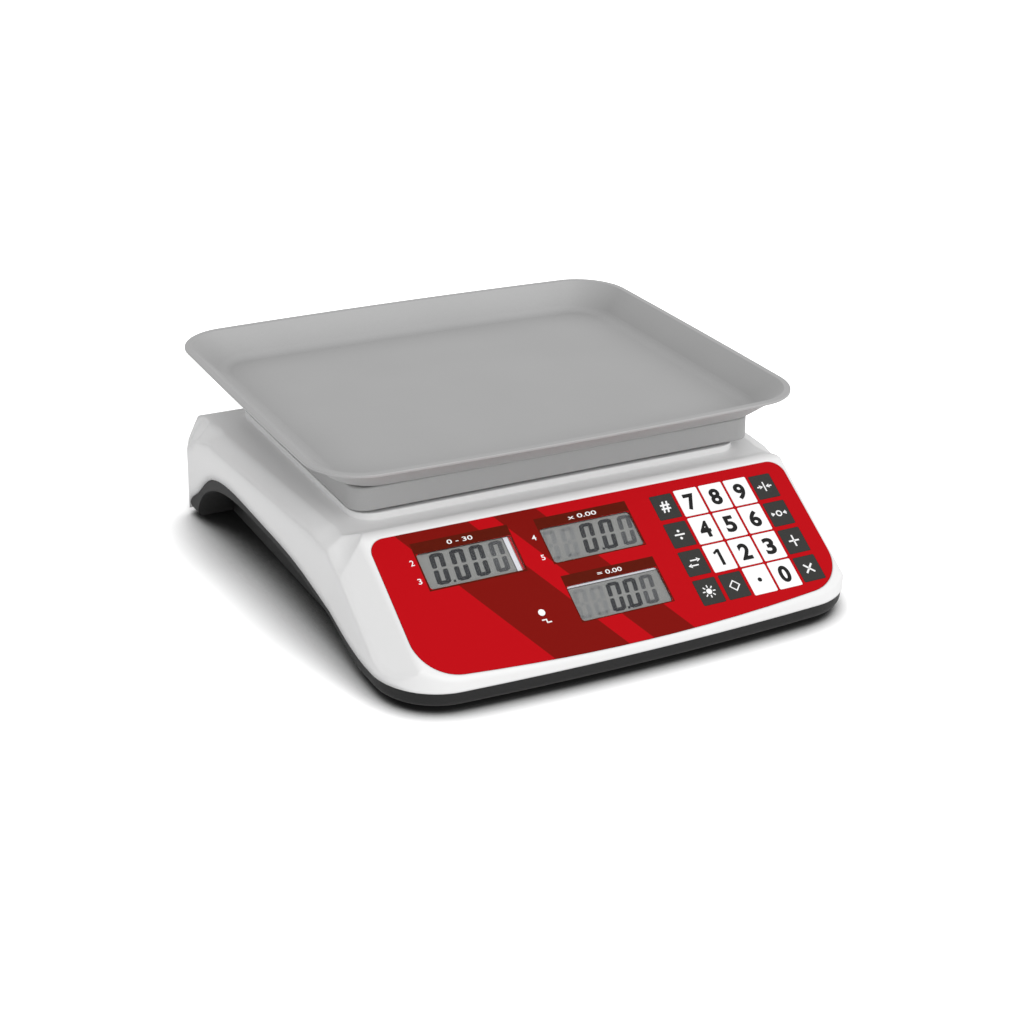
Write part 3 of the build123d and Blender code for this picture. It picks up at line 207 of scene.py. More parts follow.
base_black, tree, place = new_material("moulded_black_abs")
grain, tone = mottled(tree, place, 0.455, "#191919", "#242424", detail=3.0, roughness=0.6)
edge = add_node(tree, "ShaderNodeBevel", settings={"samples": 4}, inputs={"Radius": 0.8 * mm})
skin = add_node(
    tree, "ShaderNodeBump", inputs={"Strength": 0.25, "Distance": 0.06 * mm},
    links={"Height": grain.outputs["Fac"], "Normal": edge.outputs["Normal"]},
)
abs_shader = add_node(
    tree, "ShaderNodeBsdfPrincipled",
    inputs={"IOR": 1.53, "Roughness": 0.5, "Specular IOR Level": 0.25},
    links={"Base Color": tone.outputs["Color"], "Normal": skin.outputs["Normal"]},
)
add_node(tree, "ShaderNodeOutputMaterial", links={"Surface": abs_shader.outputs["BSDF"]})
for name in ("lower_housing", "power_inlet", "switch_frame", "switch_rocker"):
    finish_node(name, base_black)


# The rocker carries the usual on and off marks, a stroke and a ring, printed in white
# on its outer face.
print_layer = 0.03 * mm


def flat_bar(width, height, corner, x=0.0, y=0.0, thickness=print_layer):
    """A thin bar with rounded corners, lying flat, its middle at x, y."""
    bpy.ops.object.select_all(action="DESELECT")
    bpy.ops.mesh.primitive_plane_add(size=1.0, location=(0, 0, 0))
    bar = bpy.context.object
    bar.data.transform(Matrix.Translation((x, y, 0)) @ Matrix.Diagonal((width, height, 1, 1)))
    bpy.ops.object.mode_set(mode="EDIT")
    bpy.ops.mesh.select_all(action="SELECT")
    if corner:
        bpy.ops.mesh.bevel(offset=corner, offset_type="OFFSET", segments=3, affect="VERTICES")
    bpy.ops.mesh.select_all(action="SELECT")
    bpy.ops.mesh.extrude_region_move(TRANSFORM_OT_translate={"value": (0, 0, thickness)})
    bpy.ops.mesh.select_all(action="SELECT")
    bpy.ops.mesh.normals_make_consistent(inside=False)
    bpy.ops.object.mode_set(mode="OBJECT")
    return bar


def flat_disc(radius, hole=0.0, sides=32, x=0.0, y=0.0, thickness=print_layer):
    """A thin disc or ring, lying flat, its middle at x, y."""
    bpy.ops.object.select_all(action="DESELECT")
    bpy.ops.mesh.primitive_circle_add(
        vertices=sides, radius=radius, fill_type="NGON", location=(0, 0, 0),
        rotation=(0, 0, math.pi / 2),
    )
    disc = bpy.context.object
    bpy.ops.object.transform_apply(location=True, rotation=True, scale=True)
    disc.data.transform(Matrix.Translation((x, y, 0)))
    bpy.ops.object.mode_set(mode="EDIT")
    bpy.ops.mesh.select_all(action="SELECT")
    if hole:
        bpy.ops.mesh.inset(thickness=radius - hole, use_even_offset=False)
        bpy.ops.mesh.delete(type="FACE")
    bpy.ops.mesh.select_all(action="SELECT")
    bpy.ops.mesh.extrude_region_move(TRANSFORM_OT_translate={"value": (0, 0, thickness)})
    bpy.ops.mesh.select_all(action="SELECT")
    bpy.ops.mesh.normals_make_consistent(inside=False)
    bpy.ops.object.mode_set(mode="OBJECT")
    return disc


def join_pieces(pieces):
    """Joins flat pieces into the first of them."""
    bpy.ops.object.select_all(action="DESELECT")
    for piece in pieces:
        piece.select_set(True)
    bpy.context.view_layer.objects.active = pieces[0]
    if len(pieces) > 1:
        bpy.ops.object.join()
    return pieces[0]


def settle(piece, name, turn, material, body):
    """Names a finished piece, puts it in its place and lets it ride on its body."""
    piece.name = name
    piece.data.name = name
    piece.data.transform(turn)
    piece.data.materials.clear()
    piece.data.materials.append(material)
    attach(piece, body)


def ink_material(name, low, high, size_mm, roughness, gloss=0.12):
    """A flat ink or glass tone that varies a little between two colours."""
    material, tree, place = new_material(name)
    _, tone = mottled(tree, place, size_mm, low, high)
    shader = add_node(
        tree, "ShaderNodeBsdfPrincipled",
        inputs={"IOR": 1.5, "Roughness": roughness, "Specular IOR Level": gloss},
        links={"Base Color": tone.outputs["Color"]},
    )
    add_node(tree, "ShaderNodeOutputMaterial", links={"Surface": shader.outputs["BSDF"]})
    return material


# ink laid through a screen, matt and opaque, with the mesh's dots a third of a millimetre apart
print_white = ink_material("screen_printed_white_ink", "#EDEDED", "#FAFAFA", 0.333, 0.5, gloss=0.5)

rocker_joint = next(j for j in frame["joints"] if j["name"] == "switch_rock")
rocker_axis_place = Vector(rocker_joint["pos_m"])
rocker_turn = Matrix(((0, 0, 1), (1, 0, 0), (0, 1, 0))).to_4x4()
pressed_face = 2.2 * mm
raised_face = 3.04 * mm
mark_reach = 4.2 * mm
face_lean = math.radians(11.27)
ring = flat_disc(1.7 * mm, hole=1.15 * mm)
settle(
    ring, "switch_mark_off",
    Matrix.Translation(rocker_axis_place + Vector((pressed_face, mark_reach, 0))) @ rocker_turn,
    print_white, "switch_rocker",
)
stroke = flat_bar(0.55 * mm, 3.4 * mm, 0.1 * mm)
settle(
    stroke, "switch_mark_on",
    Matrix.Translation(rocker_axis_place + Vector((raised_face, -mark_reach, 0)))
    @ Matrix.Rotation(face_lean, 4, "Z") @ rocker_turn,
    print_white, "switch_rocker",
)

# ---- Levelling feet ------------------------------------------------------------------
# Four black rubber feet on studs that turn in the base to level the scale, foot and stud
# in one: a dull black with hardly any shine, and a skin like fine orange peel. The tray's
# four pads are of the same rubber.
foot_rubber, tree, place = new_material("moulded_black_rubber")
peel, tone = mottled(tree, place, 0.714, "#1B1B1B", "#2A2A2A", detail=3.0)
skin = add_node(
    tree, "ShaderNodeBump", inputs={"Strength": 0.4, "Distance": 0.1 * mm},
    links={"Height": peel.outputs["Fac"]},
)
rubber = add_node(
    tree, "ShaderNodeBsdfPrincipled", inputs={"IOR": 1.5, "Roughness": 0.82},
    links={"Base Color": tone.outputs["Color"], "Normal": skin.outputs["Normal"]},
)
add_node(tree, "ShaderNodeOutputMaterial", links={"Surface": rubber.outputs["BSDF"]})
for name in ("foot_front_left", "foot_front_right", "foot_rear_left", "foot_rear_right", "tray_pads"):
    finish_node(name, foot_rubber)

# ---- Load cell -----------------------------------------------------------------------
# A bar of milled aluminium on its spacer block, bolted to the base: pale grey metal with
# the cutter's lines along its length, about a third of a millimetre apart.
milled_aluminium, tree, place = new_material("milled_aluminium")
along = add_node(
    tree, "ShaderNodeMapping",
    inputs={"Scale": (grain_scale(16.7), grain_scale(0.333), grain_scale(0.333))},
    links={"Vector": place},
)
lines = add_node(
    tree, "ShaderNodeTexNoise", inputs={"Scale": 1.0, "Detail": 3.0},
    links={"Vector": along.outputs["Vector"]},
)
tone = add_node(tree, "ShaderNodeValToRGB", links={"Fac": lines.outputs["Fac"]})
tone.color_ramp.elements[0].color = hex_colour("#C2C4C6")
tone.color_ramp.elements[1].color = hex_colour("#DADCDD")
shine = add_node(
    tree, "ShaderNodeMapRange", inputs={"To Min": 0.28, "To Max": 0.44},
    links={"Value": lines.outputs["Fac"]},
)
cut = add_node(
    tree, "ShaderNodeBump", inputs={"Strength": 0.15, "Distance": 0.05 * mm},
    links={"Height": lines.outputs["Fac"]},
)
metal = add_node(
    tree, "ShaderNodeBsdfPrincipled", inputs={"Metallic": 1.0},
    links={
        "Base Color": tone.outputs["Color"], "Roughness": shine.outputs["Result"],
        "Normal": cut.outputs["Normal"],
    },
)
add_node(tree, "ShaderNodeOutputMaterial", links={"Surface": metal.outputs["BSDF"]})
for name in ("load_cell", "cell_spacer"):
    finish_node(name, milled_aluminium)

# ---- Screws, bolts and the overload stop ---------------------------------------------
# Cold-headed steel with bright zinc plating: a cool grey metal with small cloudy
# changes of shine, each about two millimetres across.
zinc_steel, tree, place = new_material("zinc_plated_steel")
cloud, tone = mottled(tree, place, 2.0, "#A9ACB0", "#C9CCCF", detail=3.0)
shine = add_node(
    tree, "ShaderNodeMapRange", inputs={"To Min": 0.22, "To Max": 0.42},
    links={"Value": cloud.outputs["Fac"]},
)
metal = add_node(
    tree, "ShaderNodeBsdfPrincipled", inputs={"Metallic": 1.0},
    links={"Base Color": tone.outputs["Color"], "Roughness": shine.outputs["Result"]},
)
add_node(tree, "ShaderNodeOutputMaterial", links={"Surface": metal.outputs["BSDF"]})
for name in (
    "cell_bolts", "overload_stop", "platform_bolts", "support_screws", "board_screws", "case_screws",
):
    finish_node(name, zinc_steel)

# ---- Battery and its strap -----------------------------------------------------------
# A sealed lead battery in a charcoal moulded case, held down by a strap of galvanised
# steel, which shows flat zinc crystals about six millimetres across.
battery_case, tree, place = new_material("moulded_charcoal_abs")
grain, tone = mottled(tree, place, 0.556, "#3A3B3E", "#46474A")
skin = add_node(
    tree, "ShaderNodeBump", inputs={"Strength": 0.3, "Distance": 0.06 * mm},
    links={"Height": grain.outputs["Fac"]},
)
shell = add_node(
    tree, "ShaderNodeBsdfPrincipled", inputs={"IOR": 1.53, "Roughness": 0.55},
    links={"Base Color": tone.outputs["Color"], "Normal": skin.outputs["Normal"]},
)
add_node(tree, "ShaderNodeOutputMaterial", links={"Surface": shell.outputs["BSDF"]})
finish_node("battery", battery_case)

galvanised_steel, tree, place = new_material("galvanised_steel")
crystals = add_node(
    tree, "ShaderNodeTexVoronoi", inputs={"Scale": grain_scale(5.88)},
    links={"Vector": place},
)
grey = add_node(tree, "ShaderNodeRGBToBW", links={"Color": crystals.outputs["Color"]})
tone = add_node(tree, "ShaderNodeValToRGB", links={"Fac": grey.outputs["Val"]})
tone.color_ramp.elements[0].color = hex_colour("#A3A6A8")
tone.color_ramp.elements[1].color = hex_colour("#C4C7C9")
shine = add_node(
    tree, "ShaderNodeMapRange", inputs={"To Min": 0.3, "To Max": 0.5},
    links={"Value": grey.outputs["Val"]},
)
metal = add_node(
    tree, "ShaderNodeBsdfPrincipled", inputs={"Metallic": 1.0},
    links={"Base Color": tone.outputs["Color"], "Roughness": shine.outputs["Result"]},
)
add_node(tree, "ShaderNodeOutputMaterial", links={"Surface": metal.outputs["BSDF"]})
finish_node("battery_strap", galvanised_steel)

# ---- Transformer ---------------------------------------------------------------------
# A stack of half-millimetre iron sheets under dark varnish, screwed to the base, with a
# slight varnish gloss. The seams between the sheets are drawn a millimetre apart, twice
# as far as the real ones, so that they show.
def wave_scale(pitch_mm):
    """The scale at which a wave pattern's bands stand so many millimetres apart."""
    return math.pi / 10 / (pitch_mm * mm)


iron_stack, tree, place = new_material("varnished_iron_sheets")
sheets = add_node(
    tree, "ShaderNodeTexWave", settings={"bands_direction": "Z"},
    inputs={"Scale": wave_scale(0.982), "Distortion": 0.2, "Detail": 1.0},
    links={"Vector": place},
)
tone = add_node(tree, "ShaderNodeValToRGB", links={"Fac": sheets.outputs["Fac"]})
tone.color_ramp.elements[0].color = hex_colour("#3A3A3C")
tone.color_ramp.elements[1].color = hex_colour("#6B6B6E")
seams = add_node(
    tree, "ShaderNodeBump", inputs={"Strength": 0.4, "Distance": 0.1 * mm},
    links={"Height": sheets.outputs["Fac"]},
)
varnish = add_node(
    tree, "ShaderNodeBsdfPrincipled", inputs={"Metallic": 0.6, "Roughness": 0.4, "Coat Weight": 0.3},
    links={"Base Color": tone.outputs["Color"], "Normal": seams.outputs["Normal"]},
)
add_node(tree, "ShaderNodeOutputMaterial", links={"Surface": varnish.outputs["BSDF"]})
finish_node("transformer", iron_stack)

# ---- Circuit boards ------------------------------------------------------------------
# Glass-epoxy boards under green solder mask, on moulded posts: glossy green with paler
# copper tracks about a millimetre wide showing through. The chips are matt black epoxy.
solder_mask, tree, place = new_material("green_solder_mask")
# brick joints stand for the tracks: the unit is 11.1 mm, so they are 0.8 mm wide, in rows
# 2.4 mm apart
tracks = add_node(
    tree, "ShaderNodeTexBrick", settings={"offset": 0.5},
    inputs={
        "Scale": grain_scale(11.1), "Mortar Size": 0.035, "Mortar Smooth": 0.1, "Brick Width": 1.4,
        "Row Height": 0.22, "Color1": hex_colour("#14532E"), "Color2": hex_colour("#185C34"),
        "Mortar": hex_colour("#2E7D4A"),
    },
    links={"Vector": place},
)
raised = add_node(
    tree, "ShaderNodeBump", inputs={"Strength": 0.2, "Distance": 0.05 * mm},
    links={"Height": tracks.outputs["Fac"]},
)
board = add_node(
    tree, "ShaderNodeBsdfPrincipled", inputs={"IOR": 1.55, "Roughness": 0.22},
    links={"Base Color": tracks.outputs["Color"], "Normal": raised.outputs["Normal"]},
)
add_node(tree, "ShaderNodeOutputMaterial", links={"Surface": board.outputs["BSDF"]})
for name in ("main_board", "display_board", "rear_board"):
    finish_node(name, solder_mask)

chip_epoxy, tree, place = new_material("moulded_black_epoxy")
_, tone = mottled(tree, place, 0.25, "#1C1C1E", "#2C2C2E")
epoxy = add_node(
    tree, "ShaderNodeBsdfPrincipled", inputs={"IOR": 1.55, "Roughness": 0.6},
    links={"Base Color": tone.outputs["Color"]},
)
add_node(tree, "ShaderNodeOutputMaterial", links={"Surface": epoxy.outputs["BSDF"]})
finish_node("board_parts", chip_epoxy)

# ---- White case ----------------------------------------------------------------------
# The upper moulding in white ABS, screwed over the base: a soft, even white with a broad,
# low highlight from the grain of its mould, again drawn coarser than the real one.
case_white, tree, place = new_material("moulded_white_abs")
grain = add_node(
    tree, "ShaderNodeTexNoise", inputs={"Scale": grain_scale(0.385), "Detail": 3.0, "Roughness": 0.6},
    links={"Vector": place},
)
_, tone = mottled(tree, place, 111.0, "#E7E7E7", "#EBEBEB")
shine = add_node(
    tree, "ShaderNodeMapRange",
    inputs={"From Min": 0.3, "From Max": 0.7, "To Min": 0.38, "To Max": 0.46},
    links={"Value": grain.outputs["Fac"]},
)
# the mould's big shoulders run into each other in soft rounds, broader towards the two sides
axes = add_node(tree, "ShaderNodeSeparateXYZ", links={"Vector": place})
off_middle = add_node(
    tree, "ShaderNodeMath", settings={"operation": "ABSOLUTE"}, links={0: axes.outputs["X"]},
)
round_size = add_node(
    tree, "ShaderNodeMapRange",
    inputs={"From Min": 146 * mm, "From Max": 156 * mm, "To Min": 2 * mm, "To Max": 9 * mm},
    links={"Value": off_middle.outputs[0]},
)
edge = add_node(
    tree, "ShaderNodeBevel", settings={"samples": 10}, links={"Radius": round_size.outputs["Result"]},
)
skin = add_node(
    tree, "ShaderNodeBump", inputs={"Strength": 0.12, "Distance": 0.05 * mm},
    links={"Height": grain.outputs["Fac"], "Normal": edge.outputs["Normal"]},
)
abs_shader = add_node(
    tree, "ShaderNodeBsdfPrincipled", inputs={"IOR": 1.53},
    links={
        "Base Color": tone.outputs["Color"], "Roughness": shine.outputs["Result"],
        "Normal": skin.outputs["Normal"],
    },
)
add_node(tree, "ShaderNodeOutputMaterial", links={"Surface": abs_shader.outputs["BSDF"]})
finish_node("upper_housing", case_white)

# ---- Spirit level --------------------------------------------------------------------
# A round acrylic vial of green liquid, pressed into the well floor beside the platform,
# with a printed ring and a flat bubble: glossy and yellow-green, in a pale grey wall.
level_low, level_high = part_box("spirit_level")
level_middle = (level_low + level_high) / 2
level_top = Vector((level_middle.x, level_middle.y, level_high.z))
liquid_radius = 7.5 * mm
level_green, tree, place = new_material("green_acrylic_vial")
_, tone = mottled(tree, place, 8.33, "#B6D23A", "#C8E04E")
centred = add_node(
    tree, "ShaderNodeMapping", settings={"vector_type": "TEXTURE"},
    inputs={"Location": level_middle},
    links={"Vector": place},
)
flat_place = add_node(
    tree, "ShaderNodeVectorMath", settings={"operation": "MULTIPLY"}, inputs={1: (1.0, 1.0, 0.0)},
    links={0: centred.outputs["Vector"]},
)
from_middle = add_node(
    tree, "ShaderNodeVectorMath", settings={"operation": "LENGTH"},
    links={0: flat_place.outputs["Vector"]},
)
in_flange = add_node(
    tree, "ShaderNodeMath", settings={"operation": "GREATER_THAN"}, inputs={1: liquid_radius},
    links={0: from_middle.outputs["Value"]},
)
shade = add_node(
    tree, "ShaderNodeMix", settings={"data_type": "RGBA"},
    links={"Factor": in_flange.outputs[0], 6: tone.outputs["Color"]},
)
shade.inputs[7].default_value = hex_colour("#D8D8D6")
vial = add_node(
    tree, "ShaderNodeBsdfPrincipled",
    inputs={"IOR": 1.49, "Roughness": 0.06, "Transmission Weight": 0.2},
    links={"Base Color": shade.outputs[2]},
)
add_node(tree, "ShaderNodeOutputMaterial", links={"Surface": vial.outputs["BSDF"]})
finish_node("spirit_level", level_green)

print_black = ink_material("screen_printed_black_ink", "#0C0C0C", "#181818", 0.333, 0.45, gloss=0.15)
ring = flat_disc(3.6 * mm, hole=3.2 * mm)
settle(ring, "level_ring", Matrix.Translation(level_top), print_black, "housing")
bubble = flat_disc(2.7 * mm)
settle(bubble, "level_bubble", Matrix.Translation(level_top), print_white, "housing")

# ---- Key switches under the film -----------------------------------------------------
# A printed silver circuit on clear film, twenty snap domes of spring steel, and a dark
# spacer film with the key openings cut in it, glued in a stack under the control film.
circuit_film, tree, place = new_material("silver_printed_circuit_film")
tracks = add_node(
    tree, "ShaderNodeTexWave", settings={"bands_direction": "X"},
    inputs={"Scale": wave_scale(2.62), "Distortion": 1.5, "Detail": 1.0},
    links={"Vector": place},
)
tone = add_node(tree, "ShaderNodeValToRGB", links={"Fac": tracks.outputs["Fac"]})
tone.color_ramp.elements[0].color = hex_colour("#B9BFB9")
tone.color_ramp.elements[0].position = 0.6
tone.color_ramp.elements[1].color = hex_colour("#8E9298")
tone.color_ramp.elements[1].position = 0.7
circuit = add_node(
    tree, "ShaderNodeBsdfPrincipled", inputs={"IOR": 1.57, "Roughness": 0.35},
    links={"Base Color": tone.outputs["Color"]},
)
add_node(tree, "ShaderNodeOutputMaterial", links={"Surface": circuit.outputs["BSDF"]})
finish_node("membrane_circuit", circuit_film)

spring_steel, tree, place = new_material("rolled_spring_steel")
roll = add_node(
    tree, "ShaderNodeMapping",
    inputs={"Scale": (grain_scale(6.67), grain_scale(0.25), grain_scale(0.25))},
    links={"Vector": place},
)
lines = add_node(
    tree, "ShaderNodeTexNoise", inputs={"Scale": 1.0, "Detail": 2.0},
    links={"Vector": roll.outputs["Vector"]},
)
tone = add_node(tree, "ShaderNodeValToRGB", links={"Fac": lines.outputs["Fac"]})
tone.color_ramp.elements[0].color = hex_colour("#C0C0C0")
tone.color_ramp.elements[1].color = hex_colour("#D2D2D2")
shine = add_node(
    tree, "ShaderNodeMapRange", inputs={"To Min": 0.2, "To Max": 0.32},
    links={"Value": lines.outputs["Fac"]},
)
metal = add_node(
    tree, "ShaderNodeBsdfPrincipled", inputs={"Metallic": 1.0},
    links={"Base Color": tone.outputs["Color"], "Roughness": shine.outputs["Result"]},
)
add_node(tree, "ShaderNodeOutputMaterial", links={"Surface": metal.outputs["BSDF"]})
finish_node("key_domes", spring_steel)

spacer_film, tree, place = new_material("dark_polyester_spacer_film")
_, tone = mottled(tree, place, 1.11, "#2E2A2A", "#3A3434")
spacer = add_node(
    tree, "ShaderNodeBsdfPrincipled", inputs={"IOR": 1.57, "Roughness": 0.5},
    links={"Base Color": tone.outputs["Color"]},
)
add_node(tree, "ShaderNodeOutputMaterial", links={"Surface": spacer.outputs["BSDF"]})
finish_node("membrane_spacer", spacer_film)

# ---- Front displays ------------------------------------------------------------------
# Three reflective liquid-crystal cells over frosted light plates, behind the panel's
# openings: neutral grey glass, with dark segments that lean a little to the right.
film_t = 0.5 * mm
film_top_edge = 101.8 * mm
key_press = next(Vector(j["axis"]) for j in frame["joints"] if j["name"] == "press_key_0")
panel_out = -key_press.normalized()
panel_across = Vector((1, 0, 0))
panel_up = panel_out.cross(panel_across)
film_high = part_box("control_overlay")[1]
panel_start = (
    Vector((0, film_high.y + panel_out.y * film_t, film_high.z)) - panel_up * film_top_edge
)


def on_panel(u, v, lift=0.0, lean=0.0):
    """Carries flat work onto the control slope: millimetres across it, up it and above it."""
    turn = Matrix((panel_across, panel_up, panel_out)).transposed().to_4x4()
    slant = Matrix.Identity(4)
    slant[0][1] = lean
    return Matrix.Translation(panel_start) @ turn @ Matrix.Translation((u * mm, v * mm, lift * mm)) @ slant


frosted_plate = ink_material("frosted_acrylic_light_plate", "#E2E6E2", "#F0F2F0", 2.5, 0.6)
finish_node("front_backlights", frosted_plate)
lcd_glass = ink_material("liquid_crystal_glass", "#8A8B89", "#969795", 22.2, 0.3)
for name in ("front_lcds", "rear_lcds"):
    finish_node(name, lcd_glass)
lcd_dark = ink_material("liquid_crystal_segment_lit", "#2B2C31", "#35363A", 3.33, 0.3, gloss=0.05)
lcd_half = ink_material("liquid_crystal_segment_fading", "#4B4C50", "#56575A", 3.33, 0.3)
lcd_ghost = ink_material("liquid_crystal_segment_unlit", "#7E8082", "#878889", 3.33, 0.3)
lcd_pale = ink_material("liquid_crystal_cell_edge", "#E6E8F0", "#F4F5FA", 3.33, 0.3)
print_red = ink_material("painted_red_bezel_edge", "#B80D1A", "#C40F1C", 3.33, 0.5)
cell_below_film = 0.7
glass_depth = film_t / mm + cell_below_film


def lcd_digit(segments, width, height, side, level):
    """A digit of a liquid-crystal cell, from the letters of its segments, its lower left at 0, 0."""
    half = height / 2
    gap = 0.5
    end_bar = width - side * 0.9
    side_bar = half - gap - level * 0.35
    places = {
        "a": (width / 2, height - level / 2, end_bar, level),
        "b": (width - side / 2, half + half / 2, side, side_bar),
        "c": (width - side / 2, half / 2, side, side_bar),
        "d": (width / 2, level / 2, end_bar, level),
        "e": (side / 2, half / 2, side, side_bar),
        "f": (side / 2, half + half / 2, side, side_bar),
        "g": (width / 2, half, width - 2.2 * side, level),
    }
    bars = []
    for letter in segments:
        x, y, bar_w, bar_h = places[letter]
        bars.append(flat_bar(bar_w * mm, bar_h * mm, min(bar_w, bar_h) * 0.3 * mm, x * mm, y * mm))
    return join_pieces(bars)


def place_digits(display, digits, width, height, side, level, lean, v, turn, material_for):
    """Lays a row of digits on a cell: each has its segments, its left end and its shade."""
    for count, (segments, u, shade) in enumerate(digits):
        digit = lcd_digit(segments, width, height, side, level)
        settle(
            digit, f"{display}_digit_{count + 1}", turn(u, v, -glass_depth, lean),
            material_for[shade], "housing",
        )


shades = {"lit": lcd_dark, "fading": lcd_half, "ghost": lcd_ghost}
zero = "abcdef"
eight = "abcdefg"
place_digits(
    "weight",
    ((zero, -111.5, "lit"), (zero, -98.6, "lit"), (zero, -86.1, "lit"), (zero, -73.4, "fading")),
    width=9.0, height=21.0, side=3.2, level=2.5, lean=0.1, v=65.1, turn=on_panel, material_for=shades,
)
place_digits(
    "price",
    (
        (eight, -39.8, "ghost"), (eight, -27.2, "ghost"), (zero, -14.1, "lit"), (zero, -1.1, "lit"),
        (zero, 12.0, "fading"),
    ),
    width=9.2, height=20.4, side=3.1, level=2.4, lean=0.175, v=65.1, turn=on_panel, material_for=shades,
)
place_digits(
    "total",
    (
        (eight, -37.2, "ghost"), (eight, -26.0, "ghost"), (zero, -14.8, "lit"), (zero, -3.5, "lit"),
        (zero, 7.8, "fading"),
    ),
    width=8.9, height=19.4, side=2.9, level=2.3, lean=0.15, v=23.8, turn=on_panel, material_for=shades,
)
for display, u, v in (("weight", -100.4, 65.9), ("price", -1.8, 66.1), ("total", -4.1, 24.7)):
    point = flat_bar(1.6 * mm, 1.6 * mm, 0.3 * mm)
    settle(
        point, f"{display}_point", on_panel(u, v, -glass_depth), lcd_dark, "housing",
    )
for name, u, v, width, height, ink in (
    ("weight_cell_edge", -59.3, 75.0, 3.0, 24.2, lcd_pale),
    ("weight_cell_line", -61.0, 75.0, 0.5, 24.2, lcd_dark),
    ("weight_cell_gap", -56.6, 75.0, 1.5, 24.2, print_red),
    ("total_cell_edge", -6.1, 46.0, 61.0, 1.4, lcd_pale),
    ("total_cell_line", -6.1, 44.9, 61.0, 0.5, lcd_half),
):
    strip = flat_bar(width * mm, height * mm, 0)
    settle(strip, name, on_panel(u, v, -glass_depth), ink, "housing")

# ---- Status lamp ---------------------------------------------------------------------
# A small round lamp in frosted white epoxy that fills its hole in the panel, with a flat
# face a tenth of a millimetre proud of the film.
lamp_epoxy = ink_material("frosted_white_epoxy_lamp", "#F4F4F4", "#FFFFFF", 2.0, 0.25)
finish_node("status_lamp", lamp_epoxy)
lamp_dot = flat_disc(2.15 * mm, thickness=0.12 * mm)
lamp_low, lamp_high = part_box("status_lamp")
lamp_place = (lamp_low + lamp_high) / 2 - panel_start
settle(
    lamp_dot, "status_dot",
    on_panel(lamp_place.dot(panel_across) / mm, lamp_place.dot(panel_up) / mm), lamp_epoxy,
    "housing",
)

# ---- Display windows -----------------------------------------------------------------
# Thin clear polyester let into the film's openings: glass-clear with a sharp reflection,
# very slightly uneven over a centimetre.
window_clear, tree, place = new_material("clear_polyester_window")
ripple = add_node(
    tree, "ShaderNodeTexNoise", inputs={"Scale": grain_scale(11.1), "Detail": 1.0},
    links={"Vector": place},
)
uneven = add_node(
    tree, "ShaderNodeBump", inputs={"Strength": 0.03, "Distance": 0.2 * mm},
    links={"Height": ripple.outputs["Fac"]},
)
clear = add_node(
    tree, "ShaderNodeBsdfPrincipled",
    inputs={
        "Base Color": hex_colour("#6E706E"), "IOR": 1.57, "Roughness": 0.05, "Alpha": 0.06,
    },
    links={"Normal": uneven.outputs["Normal"]},
)
add_node(tree, "ShaderNodeOutputMaterial", links={"Surface": clear.outputs["BSDF"]})
for name in ("display_windows", "rear_windows"):
    finish_node(name, window_clear)

# ---- Printed control film ------------------------------------------------------------
# Polyester film, screen-printed on its back in red with two slanted darker bands, under
# a matt texture drawn a third of a millimetre wide so that it shows. It is glued into a
# shallow recess of the control slope.
film_red, tree, place = new_material("back_printed_red_film")
flat = add_node(
    tree, "ShaderNodeMapping", settings={"vector_type": "TEXTURE"},
    inputs={"Location": panel_start, "Rotation": on_panel(0, 0).to_euler()},
    links={"Vector": place},
)
axes = add_node(tree, "ShaderNodeSeparateXYZ", links={"Vector": flat.outputs["Vector"]})
# two parallel bands lean to the right going down, each between two distances measured
# across it at right angles
band_lean = math.radians(32.0)
across = add_node(
    tree, "ShaderNodeMath", settings={"operation": "MULTIPLY"}, inputs={1: math.cos(band_lean)},
    links={0: axes.outputs["X"]},
)
along = add_node(
    tree, "ShaderNodeMath", settings={"operation": "MULTIPLY_ADD"}, inputs={1: math.sin(band_lean)},
    links={0: axes.outputs["Y"], 2: across.outputs[0]},
)
band_sides = []
for low, high in ((-52.0, -12.0), (2.0, 26.0)):
    band = add_node(
        tree, "ShaderNodeMath", settings={"operation": "COMPARE"},
        inputs={1: (low + high) / 2 * mm, 2: (high - low) / 2 * mm}, links={0: along.outputs[0]},
    )
    band_sides.append(band.outputs[0])
bands = add_node(
    tree, "ShaderNodeMath", settings={"operation": "MAXIMUM"},
    links={0: band_sides[0], 1: band_sides[1]},
)
colour = add_node(
    tree, "ShaderNodeMix", settings={"data_type": "RGBA"}, links={"Factor": bands.outputs[0]},
)
colour.inputs[6].default_value = hex_colour("#BA0410")
colour.inputs[7].default_value = hex_colour("#7E0C05")
haze = add_node(
    tree, "ShaderNodeTexNoise", inputs={"Scale": grain_scale(0.3125), "Detail": 2.0},
    links={"Vector": place},
)
matt = add_node(
    tree, "ShaderNodeBump", inputs={"Strength": 0.06, "Distance": 0.03 * mm},
    links={"Height": haze.outputs["Fac"]},
)
film = add_node(
    tree, "ShaderNodeBsdfPrincipled",
    inputs={"IOR": 1.57, "Roughness": 0.5, "Specular IOR Level": 0.04},
    links={"Base Color": colour.outputs[2], "Normal": matt.outputs["Normal"]},
)
add_node(tree, "ShaderNodeOutputMaterial", links={"Surface": film.outputs["BSDF"]})
for name in ("control_overlay", "rear_overlay"):
    finish_node(name, film_red)

# Each window has a maroon border with a broad heading bar, printed on the film, and a
# few plain white figures.
print_maroon = ink_material("screen_printed_maroon_ink", "#560F00", "#5E1402", 2.5, 0.45, gloss=0.05)


